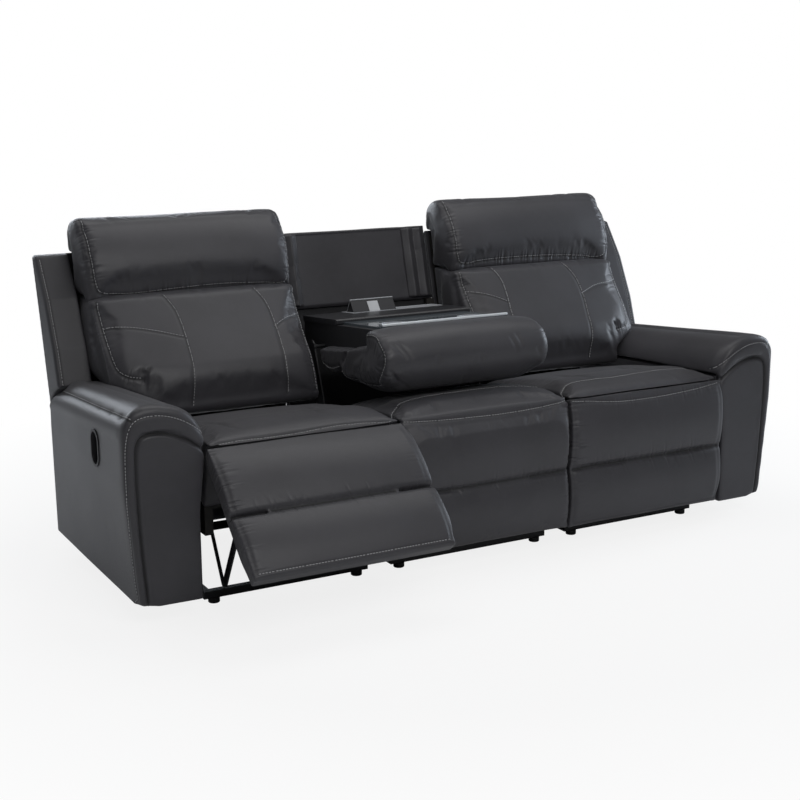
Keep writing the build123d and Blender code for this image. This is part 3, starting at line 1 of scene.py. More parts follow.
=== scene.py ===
"""Three-seat reclining sofa with a fold-down console: its leather, stitching, metal and light."""

from math import cos, pi, radians, sin

import bmesh
import bpy
import numpy as np
from mathutils import Matrix, Vector, noise
from mathutils.bvhtree import BVHTree


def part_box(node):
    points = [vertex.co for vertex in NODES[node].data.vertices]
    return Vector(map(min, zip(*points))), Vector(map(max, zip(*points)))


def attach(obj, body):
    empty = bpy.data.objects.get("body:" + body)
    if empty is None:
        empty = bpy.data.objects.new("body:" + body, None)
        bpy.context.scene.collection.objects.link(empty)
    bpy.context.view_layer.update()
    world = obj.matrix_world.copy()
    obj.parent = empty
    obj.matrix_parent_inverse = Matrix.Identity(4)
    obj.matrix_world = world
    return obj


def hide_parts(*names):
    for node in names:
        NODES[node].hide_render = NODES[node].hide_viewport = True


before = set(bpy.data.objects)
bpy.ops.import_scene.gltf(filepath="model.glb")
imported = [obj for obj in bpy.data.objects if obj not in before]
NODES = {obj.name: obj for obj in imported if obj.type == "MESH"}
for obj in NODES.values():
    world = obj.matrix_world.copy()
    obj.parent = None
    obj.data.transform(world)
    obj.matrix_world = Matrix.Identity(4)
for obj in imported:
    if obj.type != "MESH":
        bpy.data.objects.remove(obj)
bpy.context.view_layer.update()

# Distances below are in millimetres: across from the middle of the sofa, back
# from the arm fronts, and up from the floor.
ARM_FRONT = -310.1
SIDES = {"left": -1, "right": 1}

# The seam under each seat's front edge, where its footrest hangs and swings.
HINGE_BACK, HINGE_UP = -5, 480
# The crease between a footrest's two pads: how far below that seam, and how
# deep in the pads' face.
CREASE_DOWN, CREASE_DEEP = 219, 7
# Where the lines of a seam are looked for from: ahead of the sofa, above it
# and beside it.
FAR_AHEAD, FAR_ABOVE, FAR_BESIDE = -700, 1300, 1400
# Points measured against a line in one go.
BATCH = 4000
CLOTH_STEPS = 20


def at(across, back, up):
    """A place in the sofa, from millimetres to the frame's metres."""
    return Vector((across / 1000, (back + ARM_FRONT) / 1000, up / 1000))


# ------------------------------------------------------------------ materials
class Value:
    """A number on a shader socket, usable in sums and products."""

    def __init__(self, tree, socket):
        self.tree = tree
        self.socket = socket

    def _math(self, operation, first, second):
        node = self.tree.nodes.new("ShaderNodeMath")
        node.operation = operation
        for slot, term in zip(node.inputs, (first, second)):
            if isinstance(term, Value):
                self.tree.links.new(term.socket, slot)
            else:
                slot.default_value = term
        return Value(self.tree, node.outputs[0])

    def __add__(self, other):
        return self._math("ADD", self, other)

    __radd__ = __add__

    def __sub__(self, other):
        return self._math("SUBTRACT", self, other)

    def __rsub__(self, other):
        return self._math("SUBTRACT", other, self)

    def __mul__(self, other):
        return self._math("MULTIPLY", self, other)

    __rmul__ = __mul__


class Finish:
    """A material built around one Principled shader."""

    def __init__(self, name, roughness=0.5, metallic=0.0, **constants):
        self.material = bpy.data.materials.new(name)
        self.material.use_nodes = True
        self.tree = self.material.node_tree
        self.shader = self.tree.nodes["Principled BSDF"]
        self.shader.inputs["Roughness"].default_value = roughness
        self.shader.inputs["Metallic"].default_value = metallic
        for socket, value in constants.items():
            self.shader.inputs[socket.replace("_", " ")].default_value = value
        self.place = self.node("ShaderNodeTexCoord", output="Object")

    def node(self, kind, settings=None, inputs=None, output=0):
        """Add a node: its settings first, then its sockets' values or links."""
        node = self.tree.nodes.new(kind)
        for name, value in (settings or {}).items():
            setattr(node, name, value)
        for name, value in (inputs or {}).items():
            if isinstance(value, Value):
                self.tree.links.new(value.socket, node.inputs[name])
            else:
                node.inputs[name].default_value = value
        return Value(self.tree, node.outputs[output])

    def noise(self, scale, detail=2.0, roughness=0.5):
        return self.node(
            "ShaderNodeTexNoise", None,
            {"Vector": self.place, "Scale": scale, "Detail": detail, "Roughness": roughness},
        )

    def cells(self, scale):
        return self.node(
            "ShaderNodeTexVoronoi", {"feature": "SMOOTH_F1"},
            {"Vector": self.place, "Scale": scale, "Smoothness": 0.4},
        )

    def attribute(self, name):
        return self.node("ShaderNodeAttribute", {"attribute_name": name}, None, "Fac")

    def blend(self, share, first, second):
        """Mix two colours; each is a triple or a socket."""
        node = self.tree.nodes.new("ShaderNodeMix")
        node.data_type = "RGBA"
        ends = {0: share, 6: first, 7: second}
        for index, term in ends.items():
            if isinstance(term, Value):
                self.tree.links.new(term.socket, node.inputs[index])
            elif index == 0:
                node.inputs[index].default_value = term
            else:
                node.inputs[index].default_value = (*term, 1.0)
        return Value(self.tree, node.outputs[2])

    def steps(self, value, low, high):
        """Stretch a value so that low becomes 0 and high becomes 1."""
        return self.node(
            "ShaderNodeMapRange", {"clamp": True},
            {"Value": value, "From Min": low, "From Max": high, "To Min": 0.0, "To Max": 1.0},
        )

    def feed(self, socket, value):
        if isinstance(value, Value):
            self.tree.links.new(value.socket, self.shader.inputs[socket])
        elif socket == "Base Color":
            self.shader.inputs[socket].default_value = (*value, 1.0)
        else:
            self.shader.inputs[socket].default_value = value

    def bump(self, height, strength, distance):
        normal = self.node(
            "ShaderNodeBump", None, {"Height": height, "Strength": strength, "Distance": distance}, "Normal",
        )
        self.feed("Normal", normal)


def scaled(colour, factor):
    return tuple(c * factor for c in colour)


def leather(name, colour, roughness=0.46, grain=1.0):
    """Smooth dyed leather cloth: fine pebbled grain, soft clouding, and painted shade darkening its seams,
    creases and grooves.
    """
    finish = Finish(name, Specular_IOR_Level=0.5, Sheen_Weight=0.08, Sheen_Roughness=0.5)
    cloud = finish.noise(5.0, 3.0)
    streak = finish.noise(38.0, 3.0, 0.6)
    pebble = finish.cells(620.0)
    pore = finish.noise(1500.0, 2.0)
    groove_and_painted_shade = finish.attribute("groove_and_painted_shade")
    base = finish.blend(finish.steps(cloud, 0.3, 0.7), scaled(colour, 0.88), scaled(colour, 1.12))
    base = finish.blend(finish.steps(streak, 0.45, 0.75) * 0.25, base, scaled(colour, 1.3))
    # Painted shade: along seams, creases and grooves the colour is pulled almost to black, by the share
    # stored on the cover's points.
    base = finish.blend(groove_and_painted_shade * 0.95, base, scaled(colour, 0.06))
    finish.feed("Base Color", base)
    finish.feed("Roughness", roughness + 0.12 * (cloud - 0.5) + 0.14 * (pore - 0.5) + 0.25 * groove_and_painted_shade)
    finish.bump(pebble * 0.7 + pore * 0.3 + streak * 0.6, 0.35 * grain, 0.0006)
    return finish.material


def woven(name, colour, pitch):
    """Plain black cloth that lines the back and the underside."""
    finish = Finish(name, roughness=0.9, Sheen_Weight=0.15)
    threads = finish.node(
        "ShaderNodeTexWave", {"bands_direction": "X"},
        {"Vector": finish.place, "Scale": pitch, "Distortion": 0.6, "Detail Scale": 2.0},
    )
    rows = finish.node(
        "ShaderNodeTexWave", {"bands_direction": "Z"},
        {"Vector": finish.place, "Scale": pitch, "Distortion": 0.6, "Detail Scale": 2.0},
    )
    cloud = finish.noise(9.0)
    finish.feed("Base Color", finish.blend(cloud, scaled(colour, 0.8), scaled(colour, 1.25)))
    finish.bump(threads * 0.5 + rows * 0.5, 0.4, 0.0004)
    return finish.material


def painted(name, colour, roughness, metallic=0.0, texture=900.0, wear=0.0, coat=0.0):
    """Powder-coated steel or moulded plastic, with fine texture and slight wear."""
    finish = Finish(name, roughness=roughness, metallic=metallic, Coat_Weight=coat)
    cloud = finish.noise(14.0, 3.0)
    fine = finish.noise(texture, 2.0)
    scuff = finish.steps(finish.noise(60.0, 5.0, 0.7), 0.62, 0.8)
    base = finish.blend(cloud, scaled(colour, 0.85), scaled(colour, 1.15))
    base = finish.blend(scuff * wear, base, scaled(colour, 3.0))
    finish.feed("Base Color", base)
    finish.feed("Roughness", roughness + 0.1 * (fine - 0.5) + 0.15 * scuff * wear)
    finish.bump(fine, 0.12, 0.0003)
    return finish.material


def brushed(name, colour, roughness, direction="X", metallic=0.9):
    """Satin metal finish with fine brushed lines."""
    finish = Finish(name, roughness=roughness, metallic=metallic)
    stretch = {"X": (1.0, 60.0, 60.0), "Y": (60.0, 1.0, 60.0)}[direction]
    mapped = finish.node("ShaderNodeMapping", None, {"Vector": finish.place, "Scale": stretch})
    lines = finish.node(
        "ShaderNodeTexNoise", None, {"Vector": mapped, "Scale": 30.0, "Detail": 3.0},
    )
    finish.feed("Base Color", finish.blend(lines, scaled(colour, 0.85), scaled(colour, 1.1)))
    finish.feed("Roughness", roughness + 0.15 * (lines - 0.5))
    finish.bump(lines, 0.1, 0.0002)
    return finish.material


def timber(name, colour):
    """Plain sawn board."""
    finish = Finish(name, roughness=0.75)
    mapped = finish.node("ShaderNodeMapping", None, {"Vector": finish.place, "Scale": (12.0, 1.2, 12.0)})
    rings = finish.node("ShaderNodeTexNoise", None, {"Vector": mapped, "Scale": 6.0, "Detail": 5.0})
    finish.feed("Base Color", finish.blend(rings, scaled(colour, 0.6), scaled(colour, 1.2)))
    finish.bump(rings, 0.2, 0.0005)
    return finish.material


CHARCOAL = (0.042, 0.041, 0.047)
LEATHER = leather("charcoal_leather", CHARCOAL)
WING_LEATHER = leather("charcoal_wing_leather", scaled(CHARCOAL, 0.85), 0.5)
THREAD_FINISH = Finish("grey_thread", roughness=0.6)
THREAD_FINISH.feed(
    "Base Color",
    THREAD_FINISH.blend(THREAD_FINISH.noise(700.0), (0.30, 0.30, 0.31), (0.46, 0.46, 0.47)),
)
THREAD = THREAD_FINISH.material
LINING = woven("black_lining", (0.018, 0.018, 0.020), 500.0)
STEEL = painted("black_steel", (0.016, 0.016, 0.018), 0.42, 0.3, wear=0.25)
SPRING_STEEL = brushed("spring_steel", (0.42, 0.42, 0.43), 0.35)
BLACK_PLASTIC = painted("black_plastic", (0.020, 0.020, 0.023), 0.5, texture=1400.0)
GLIDE = painted("glide_plastic", (0.014, 0.014, 0.015), 0.45)
PLATE_PLASTIC = painted("plate_plastic", (0.020, 0.020, 0.023), 0.38, texture=1600.0)
TRAY_GLOSS = painted("tray_gloss", (0.100, 0.120, 0.135), 0.22, 0.0, texture=300.0, coat=0.6)
SILVER = brushed("silver_plastic", (0.60, 0.62, 0.65), 0.30, metallic=0.35)
# Painted reflection: a near-white, bluish, barely metallic colour stands in for the light mirrored in the
# tray's front rim.
PAINTED_REFLECTION_BAR = brushed("painted_reflection_bar", (0.86, 0.91, 0.95), 0.20, metallic=0.1)
WHITE_PLASTIC = painted("white_plastic", (0.50, 0.51, 0.53), 0.35)
PADDLE_GREY = painted("paddle_grey", (0.16, 0.16, 0.17), 0.35)
BOARD = timber("stained_board", (0.016, 0.014, 0.012))


# ---------------------------------------------------------------- padded pieces
def select_none():
    for other in bpy.context.selected_objects:
        other.select_set(False)


def activate(obj):
    select_none()
    obj.select_set(True)
    bpy.context.view_layer.objects.active = obj


def finish_with(obj, kind, **settings):
    """Add a modifier, set it up and apply it."""
    modifier = obj.modifiers.new(kind.lower(), kind)
    for name, value in settings.items():
        setattr(modifier, name, value)
    activate(obj)
    bpy.ops.object.modifier_apply(modifier=modifier.name)


def ramp(values, low, high):
    """0 up to low and 1 from high on, with a smooth rise between."""
    share = np.clip((values - low) / (high - low), 0, 1)
    return share * share * (3 - 2 * share)


def run_along(line):
    """How far along a line each of its points lies."""
    return np.concatenate([[0], np.cumsum(np.linalg.norm(np.diff(line, axis=0), axis=1))])


def around(line, places, reach):
    """Which places lie in the box around a line, grown by the reach."""
    low, high = line.min(axis=0) - reach, line.max(axis=0) + reach
    return np.flatnonzero(np.all((places > low) & (places < high), axis=1))


def nearest_on(line, places):
    """For each place, the nearest point of a line: its number, and how far it is."""
    index, distance = np.empty(len(places), dtype=int), np.empty(len(places))
    for start in range(0, len(places), BATCH):
        part = slice(start, start + BATCH)
        gaps = np.linalg.norm(places[part][:, None, :] - line[None, :, :], axis=2)
        index[part], distance[part] = gaps.argmin(axis=1), gaps.min(axis=1)
    return index, distance


def smooth_line(points, step=3.0):
    """Even points, step millimetres apart, on a smooth curve through the given ones."""
    given = np.array([[float(v) for v in point] for point in points])
    ends = np.vstack([2 * given[0] - given[1], given, 2 * given[-1] - given[-2]])
    samples = []
    for i in range(len(given) - 1):
        a, b, c, d = ends[i : i + 4]
        t = np.linspace(0, 1, 24, endpoint=i == len(given) - 2)[:, None]
        square, cube = 2 * a - 5 * b + 4 * c - d, 3 * b - a - 3 * c + d
        samples.append(0.5 * (2 * b + (c - a) * t + square * t**2 + cube * t**3))
    fine = np.vstack(samples)
    along = run_along(fine)
    marks = np.linspace(0, along[-1], max(2, int(along[-1] / step)))
    return np.column_stack([np.interp(marks, along, fine[:, k]) for k in range(fine.shape[1])])


def from_front(points):
    """(across, up) points, seen from in front."""
    line = smooth_line(points)
    return [at(a, FAR_AHEAD, u) for a, u in line], Vector((0, 1, 0))


def from_top(points):
    """(across, back) points, seen from above."""
    line = smooth_line(points)
    return [at(a, b, FAR_ABOVE) for a, b in line], Vector((0, 0, -1))


def from_side(points, side):
    """(back, up) points, seen from one end of the sofa."""
    line = smooth_line(points)
    return [at(side * FAR_BESIDE, b, u) for b, u in line], Vector((-side, 0, 0))


def rest_place(across, down, out, swing):
    """A point down a footrest's face and out from it, swung up by some degrees."""
    turn = radians(swing)
    return (
        across,
        HINGE_BACK - down * sin(turn) - out * cos(turn),
        HINGE_UP - down * cos(turn) + out * sin(turn),
    )


def on_rest(points, swing, out=150):
    """(across, down) points on a footrest's face, swung up by some degrees."""
    turn = radians(swing)
    starts = [at(*rest_place(a, down, out, swing)) for a, down in smooth_line(points)]
    return starts, Vector((0, cos(turn), -sin(turn)))


def on_console_end(points, side):
    """(along, up) points of the console, seen from one of its ends."""
    return from_side([console_point(along, up) for along, up in points], side)


def nearest_to(points):
    """(across, back, up) points, each moved to the nearest place on the cover."""
    return [at(*point) for point in smooth_line(points)], None


def in_crease(low, high, swing):
    """The bottom of the crease between a footrest's pads."""
    spots = (low + 3, (low + high) / 2, high - 3)
    return nearest_to([rest_place(across, CREASE_DOWN, -CREASE_DEEP, swing) for across in spots])


CONSOLE_BACK, CONSOLE_UP = 600, 608
TILT = radians(4.9)


def console_point(along, up):
    """(back, up) of a point given along the tilted console and out of its top."""
    return (
        CONSOLE_BACK + along * cos(TILT) + up * sin(TILT),
        CONSOLE_UP - along * sin(TILT) + up * cos(TILT),
    )


def uneven_share(number, seed):
    """A share from 0 to 1 that jumps about from one whole number to the next."""
    return np.abs(np.sin(number * 12.9898 + seed * 3.1) * 43758.5453) % 1


def net_of(nodes, gap=2e-5):
    """One net of the CAD meshes of some nodes, its doubled points merged."""
    net = bmesh.new()
    for node in nodes:
        net.from_mesh(NODES[node].data)
    bmesh.ops.remove_doubles(net, verts=net.verts, dist=gap)
    return net


class Cover:
    """The leather over one or more padded forms, as an even net that can be sewn and folded."""

    # The share of the net's triangles kept once it is sewn: fewer on its smooth stretches.
    kept_share = 0.6

    def __init__(self, *nodes, voxel=7.0, relax=4, divide=1, material=LEATHER):
        self.start(nodes, net_of(nodes), divide, material)
        self.obj.data.remesh_voxel_size = voxel / 1000
        activate(self.obj)
        bpy.ops.object.voxel_remesh()
        if relax:
            finish_with(self.obj, "SMOOTH", factor=0.5, iterations=relax)
        self.mesh = self.obj.data

    def start(self, nodes, net, divide, material):
        self.nodes = nodes
        self.divide = divide
        self.material = material
        self.rows = []
        self.mesh = bpy.data.meshes.new(f"{nodes[0]}_cover")
        net.to_mesh(self.mesh)
        net.free()
        self.obj = bpy.data.objects.new(f"{nodes[0]}_cover", self.mesh)
        bpy.context.collection.objects.link(self.obj)

    def draw_to(self, back, up, reach, amount):
        """Bring the cover's edge towards a seam that runs across the sofa."""
        places, _ = self.read()
        gap = np.array([0, (back + ARM_FRONT) / 1000, up / 1000]) - places * (0, 1, 1)
        away = np.linalg.norm(gap, axis=1)
        share = np.clip(1 - away * 1000 / reach, 0, 1)
        pull = np.minimum(amount / 1000 * share, away) / np.maximum(away, 1e-9)
        self.write(places + gap * pull[:, None])
        return self

    def shape(self, rule):
        """Move each point by a rule in millimetres: (across, back, up) in, the three shifts out."""
        places, _ = self.read()
        across, back, up = places.T * 1000
        self.write(places + np.column_stack(rule(across, back - ARM_FRONT, up)) / 1000)
        return self

    def soften(self, route, reach, rounds):
        """Round the cover off within some distance of a line on it."""
        line, _ = self.trace(route)
        places, _ = self.read()
        near = around(line, places, reach / 1000)
        away = nearest_on(line, places[near])[1] * 1000
        group = self.obj.vertex_groups.new(name="soft")
        for i, weight in zip(near, np.clip(1.5 - 1.5 * away / reach, 0, 1)):
            if weight > 0:
                group.add([int(i)], float(weight), "REPLACE")
        finish_with(self.obj, "SMOOTH", factor=0.5, iterations=rounds, vertex_group="soft")
        self.obj.vertex_groups.clear()
        self.mesh = self.obj.data
        return self

    def swell(self, pressure=4.0, cap=10.0):
        """Blow the net up as cloth, and keep each point within the cap of where it was."""
        before, _ = self.read()
        cloth = self.obj.modifiers.new("cloth", "CLOTH")
        cloth.settings.quality = 4
        cloth.settings.use_pressure = True
        cloth.settings.uniform_pressure_force = pressure
        cloth.settings.effector_weights.gravity = 0
        cloth.settings.mass = 0.3
        cloth.point_cache.frame_start = 1
        cloth.point_cache.frame_end = CLOTH_STEPS
        scene = bpy.context.scene
        for step in range(1, CLOTH_STEPS + 1):
            scene.frame_set(step)
        activate(self.obj)
        bpy.ops.object.modifier_apply(modifier="cloth")
        scene.frame_set(1)
        after, _ = self.read()
        move = after - before
        length = np.linalg.norm(move, axis=1, keepdims=True)
        self.write(before + move * np.minimum(1, cap / 1000 / np.maximum(length, 1e-9)))
        return self

    def refine(self):
        """Halve the net's squares, ready for seams."""
        if self.divide:
            finish_with(self.obj, "SUBSURF", levels=self.divide, render_levels=self.divide)
        self.mesh = self.obj.data
        self.painted_shade = np.zeros(len(self.mesh.vertices))
        return self

    def read(self):
        count = len(self.obj.data.vertices)
        places, normals = np.empty(count * 3), np.empty(count * 3)
        self.obj.data.vertices.foreach_get("co", places)
        self.obj.data.vertex_normals.foreach_get("vector", normals)
        return places.reshape(-1, 3), normals.reshape(-1, 3)

    def write(self, places):
        self.obj.data.vertices.foreach_set("co", places.ravel())
        self.obj.data.update()

    def surface(self):
        mesh = self.obj.data
        return BVHTree.FromPolygons(
            [v.co for v in mesh.vertices], [tuple(p.vertices) for p in mesh.polygons]
        )

    def trace(self, route, surface=None):
        """Points and normals of the cover along a route."""
        starts, inward = route
        surface = surface or self.surface()
        places, normals = [], []
        for start in starts:
            hit = surface.find_nearest(start) if inward is None else surface.ray_cast(start, inward)
            if hit[0] is not None:
                places.append(hit[0])
                normals.append(hit[1])
        return np.array(places), np.array(normals)

    def sew(self, route, depth=1.6, width=5.0, gather=0.0, pitch=17.0, reach=20.0, stitched=True,
            offset=5.0, painted_shade=0.6, fade=False, slant=0.0, seed=0.0, one_side=0):
        """Sink the cover along a seam, with the small folds that gather into it, and mark painted shade along
        it.
        """
        line, line_normals = self.trace(route)
        if len(line) < 3:
            return self
        places, normals = self.read()
        span = (max(reach, width) * 2.2 if gather else width * 3) / 1000
        near = around(line, places, span)
        if not len(near):
            return self
        step = run_along(line)
        tangents = np.gradient(line, axis=0)
        tangents /= np.linalg.norm(tangents, axis=1, keepdims=True) + 1e-12
        across = np.cross(line_normals, tangents)
        index, distance = nearest_on(line, places[near])
        offset_vector = places[near] - line[index]
        side = np.einsum("ij,ij->i", offset_vector, across[index])
        facing = np.einsum("ij,ij->i", normals[near], line_normals[index]) > -0.2
        run = (step[index] + np.einsum("ij,ij->i", offset_vector, tangents[index])) * 1000
        away = distance * 1000
        ends = np.ones(len(near))
        if fade:
            share = np.clip(run / (step[-1] * 1000), 0, 1)
            ends = np.sin(pi * share) ** 0.7
            ends = np.where((run < 0) | (run > step[-1] * 1000), 0, ends)
        fall = depth * np.exp(-((away / width) ** 2)) * ends
        if gather:
            phase = run / pitch + 0.35 * np.sin(run * 0.113 + seed) + 0.25 * np.sin(run * 0.047 + 2 + seed)
            phase += slant * side * 1000 / pitch
            number = np.floor(phase)
            strength = uneven_share(number, seed)
            length = reach * (0.45 + 0.75 * strength)
            shape = np.exp(-(((phase - number - 0.5) / 0.17) ** 2)) - 0.25
            folds = gather * (0.35 + 0.65 * strength) * shape * np.exp(-((away / length) ** 2))
            if one_side:
                folds = folds * (np.sign(side) == one_side)
            fall = fall + folds * ends
        fall = fall * facing
        places[near] -= normals[near] * fall[:, None] / 1000
        self.write(places)
        # Painted shade: points near the seam are marked for darkening in the leather's colour.
        shade = painted_shade * np.exp(-((away / (width * 0.75)) ** 2)) * ends * facing
        self.painted_shade[near] = np.maximum(self.painted_shade[near], shade)
        if stitched:
            self.rows.append((route, offset))
        return self

    def hollow(self, route, depth, width, painted_shade=0.0):
        """A soft fold without thread, that fades out at both ends, with any painted shade given along it."""
        return self.sew(route, depth=depth, width=width, stitched=False, fade=True, painted_shade=painted_shade)

    def unevenness(self, amount, scale, seed=0.0):
        """Slow swells and hollows of the stuffing."""
        places, normals = self.read()
        shift = Vector((seed, seed * 0.7, seed * 1.3))
        wave = np.array([noise.noise(Vector(place) * scale + shift) for place in places])
        self.write(places + normals * (wave * amount / 1000)[:, None])
        return self

    def done(self, body, slot="leather", fill=0.7):
        # The painted shade of seams, creases and grooves is stored on the points for the leather's colour.
        shade = self.obj.data.attributes.new("groove_and_painted_shade", "FLOAT", "POINT")
        shade.data.foreach_set("value", self.painted_shade)
        if self.kept_share < 1:
            finish_with(self.obj, "DECIMATE", ratio=self.kept_share)
        mesh = self.obj.data
        mesh.polygons.foreach_set("use_smooth", [True] * len(mesh.polygons))
        mesh.materials.clear()
        mesh.materials.append(self.material)
        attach(self.obj, body)
        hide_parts(*self.nodes)
        if self.rows:
            stitches = stitch_rows(f"{self.nodes[0]}_stitching", self, self.rows)
            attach(stitches, body)
        return self


STITCH_RING = [(cos(radians(60 * i)), sin(radians(60 * i))) for i in range(6)]
STITCH_ENDS = ((-3.4, 0.35), (-2.3, 1.0), (2.3, 1.0), (3.4, 0.35))


def stitch_rows(name, cover, rows, pitch=9.4, half=1.05):
    """Short thread stitches laid along each row, a little way off its seam."""
    surface = cover.surface()
    points, faces = [], []
    for route, offset in rows:
        line, normals = cover.trace(route, surface)
        if len(line) < 4:
            continue
        tangents = np.gradient(line, axis=0)
        beside = np.cross(normals, tangents)
        beside /= np.linalg.norm(beside, axis=1, keepdims=True) + 1e-12
        row = []
        for place, aside in zip(line, beside):
            hit = surface.find_nearest(Vector(place + aside * offset / 1000))
            row.append((hit[0], hit[1]))
        along = np.concatenate([[0], np.cumsum([(b[0] - a[0]).length for a, b in zip(row, row[1:])])]) * 1000
        for mark in np.arange(pitch / 2, along[-1] - pitch / 4, pitch):
            i = min(int(np.searchsorted(along, mark)), len(row) - 1)
            before, after = row[max(i - 1, 0)][0], row[min(i + 1, len(row) - 1)][0]
            forward = (after - before).normalized()
            if forward.length < 0.5:
                continue
            up = row[i][1].normalized()
            aside = up.cross(forward).normalized()
            base = len(points)
            for reach, size in STITCH_ENDS:
                for c, s in STITCH_RING:
                    points.append(
                        row[i][0] + forward * reach / 1000 + aside * c * size * half / 1000
                        + up * (s * size * half * 0.8 + 0.25) / 1000
                    )
            for ring in range(3):
                for k in range(6):
                    a, b = base + ring * 6 + k, base + ring * 6 + (k + 1) % 6
                    faces.append((a, b, b + 6, a + 6))
            faces.append(tuple(base + k for k in reversed(range(6))))
            faces.append(tuple(base + 18 + k for k in range(6)))
    mesh = bpy.data.meshes.new(name)
    mesh.from_pydata(points, [], faces)
    mesh.polygons.foreach_set("use_smooth", [True] * len(mesh.polygons))
    mesh.materials.append(THREAD)
    stitches = bpy.data.objects.new(name, mesh)
    bpy.context.collection.objects.link(stitches)
    return stitches


# -------------------------------------------------------------------- headrests
HEAD_SEAMS = {
    "left": [
        (-975, 1034), (-975, 1003), (-974, 951), (-973, 906), (-970, 860), (-962, 826), (-942, 812),
        (-900, 807), (-833, 805), (-687, 811), (-558, 814), (-423, 809), (-345, 803), (-326, 812),
        (-315, 840), (-311, 880), (-310, 940), (-313, 990), (-324, 1030),
    ],
    "right": [
        (326, 1034), (327, 1000), (325, 945), (325, 890), (328, 848), (340, 826), (380, 820), (432, 827),
        (572, 830), (716, 827), (850, 818), (930, 808), (966, 818), (975, 850), (978, 910), (977, 970),
        (972, 1030),
    ],
}
for name, side in SIDES.items():
    head = Cover(f"{name}_headrest", relax=9).swell(4.0, 10.0).refine()
    head.shape(lambda across, back, up: (
        0 * up, -3 * ramp(-up, -835, -800),
        -(12 + 9 * ramp(np.abs(across), 500, 980))
        * ramp(-up, -845, -812) * ramp(-back, -790, -740),
    ))
    head.unevenness(2.5, 4.0, seed=side * 2.0)
    head.sew(from_front(HEAD_SEAMS[name]), depth=2.8, width=6.0, gather=3.4, pitch=19.0, reach=22.0,
             seed=side + 2)
    head.done(f"{name}_back", fill=0.8)

# ---------------------------------------------------------------- back cushions
BACK_SEAMS = {
    "left": {
        "ends": [
            [(-974, 792), (-972, 711), (-970, 669), (-966, 628), (-956, 596), (-930, 580), (-890, 572)],
            [(-320, 792), (-321, 706), (-324, 640), (-326, 560), (-326, 484)],
        ],
        "arcs": [
            [(-764, 800), (-741, 756), (-734, 716), (-733, 669), (-735, 615), (-740, 572), (-744, 515),
             (-747, 484)],
            [(-458, 800), (-431, 750), (-424, 683), (-425, 626), (-430, 564), (-428, 520), (-428, 484)],
        ],
        "yokes": [
            [(-972, 709), (-945, 716), (-894, 715), (-818, 701), (-737, 680)],
            [(-424, 683), (-377, 701), (-320, 706)],
        ],
    },
    "right": {
        "ends": [
            [(322, 796), (324, 748), (326, 692), (328, 640), (330, 570), (330, 484)],
            [(974, 792), (972, 725), (970, 669), (966, 628), (956, 596), (930, 580), (890, 572)],
        ],
        "arcs": [
            [(452, 804), (470, 760), (465, 697), (459, 665), (458, 600), (460, 540), (464, 484)],
            [(754, 804), (782, 757), (786, 699), (767, 617), (754, 534), (747, 484)],
        ],
        "yokes": [
            [(324, 727), (345, 728), (386, 722), (425, 710), (464, 694)],
            [(785, 697), (869, 720), (973, 725)],
        ],
    },
}
TUCKS = {"left": [(-862, 612), (-874, 600), (-882, 586)], "right": [(872, 606), (884, 594), (892, 580)]}
for name, side in SIDES.items():
    cushion = Cover(f"{name}_back_cushion", relax=7).swell(4.0, 8.0).refine()
    cushion.shape(lambda across, back, up: (
        0 * up, 0 * up, -24 * ramp(np.abs(across), 880, 965) * ramp(-up, -660, -590),
    ))
    cushion.unevenness(3.5, 3.2, seed=side * 5.0)
    seams = BACK_SEAMS[name]
    for end in seams["ends"]:
        cushion.sew(from_front(end), depth=2.6, width=6.0, gather=2.2, pitch=17.0, reach=22.0, seed=side + 1)
    for arc in seams["arcs"]:
        cushion.sew(from_front(arc), depth=1.5, width=5.0, painted_shade=0.45)
    for yoke in seams["yokes"]:
        cushion.sew(from_front(yoke), depth=1.3, width=5.0, painted_shade=0.45)
    cushion.hollow(from_front(TUCKS[name]), 4.0, 6.0, 0.6)
    cushion.done(f"{name}_back", fill=0.7)

# -------------------------------------------------------------------- back shells
WING_EDGE = [(915, 0), (830, -1), (770, 1), (722, 0), (660, -1), (600, 0), (545, 0)]
WING_FRONT = ((541, 690), (654, 727), (798, 797), (921, 884))


def wing_back(up):
    """How far back the wing's front edge is at a height."""
    heights = [p[0] for p in WING_FRONT]
    return float(np.interp(up, heights, [p[1] for p in WING_FRONT]))


for name, side in SIDES.items():
    shell = Cover(f"{name}_back_shell", voxel=6.0, relax=3, divide=0, material=WING_LEATHER).refine()
    shell.unevenness(1.0, 3.0, seed=side * 9.0)
    shell.sew(
        nearest_to([(side * 1090, wing_back(up) - 2, up) for up, _ in WING_EDGE]),
        depth=1.2, width=5.0, offset=-1.0,
    )
    shell.done(f"{name}_back", slot="back_cloth", fill=0.1)

# -------------------------------------------------------------------------- arms
BAND_STITCH = [
    (896, 506), (912, 529), (938, 551), (970, 571), (1005, 585), (1035, 591), (1062, 592), (1087, 588),
    (1105, 577), (1116, 560), (1123, 534), (1127, 495), (1128, 430), (1127, 366), (1123, 300), (1114, 180),
    (1104, 66),
]
BAND_GROOVE = [
    (909, 481), (930, 496), (960, 516), (1000, 534), (1040, 542), (1072, 539), (1090, 526), (1098, 500),
    (1100, 439), (1098, 344), (1095, 258), (1089, 160), (1082, 66),
]
ARM_EDGE = [
    (898, 512), (928, 560), (960, 588), (1010, 606), (1050, 608), (1090, 602), (1110, 585), (1126, 555),
    (1132, 500), (1133, 400), (1128, 280), (1115, 120), (1108, 40),
]
ARM_SEAM = [
    (1110, -14, 584), (1111, 20, 583), (1107, 120, 574), (1101, 309, 557), (1092, 535, 537), (1086, 705, 522),
]
ARM_FOLDS = [
    ([(950, 18), (975, 70), (988, 150), (992, 260)], 1.4, 20.0),
    ([(1068, 30), (1040, 60), (1012, 84)], 1.2, 14.0),
]
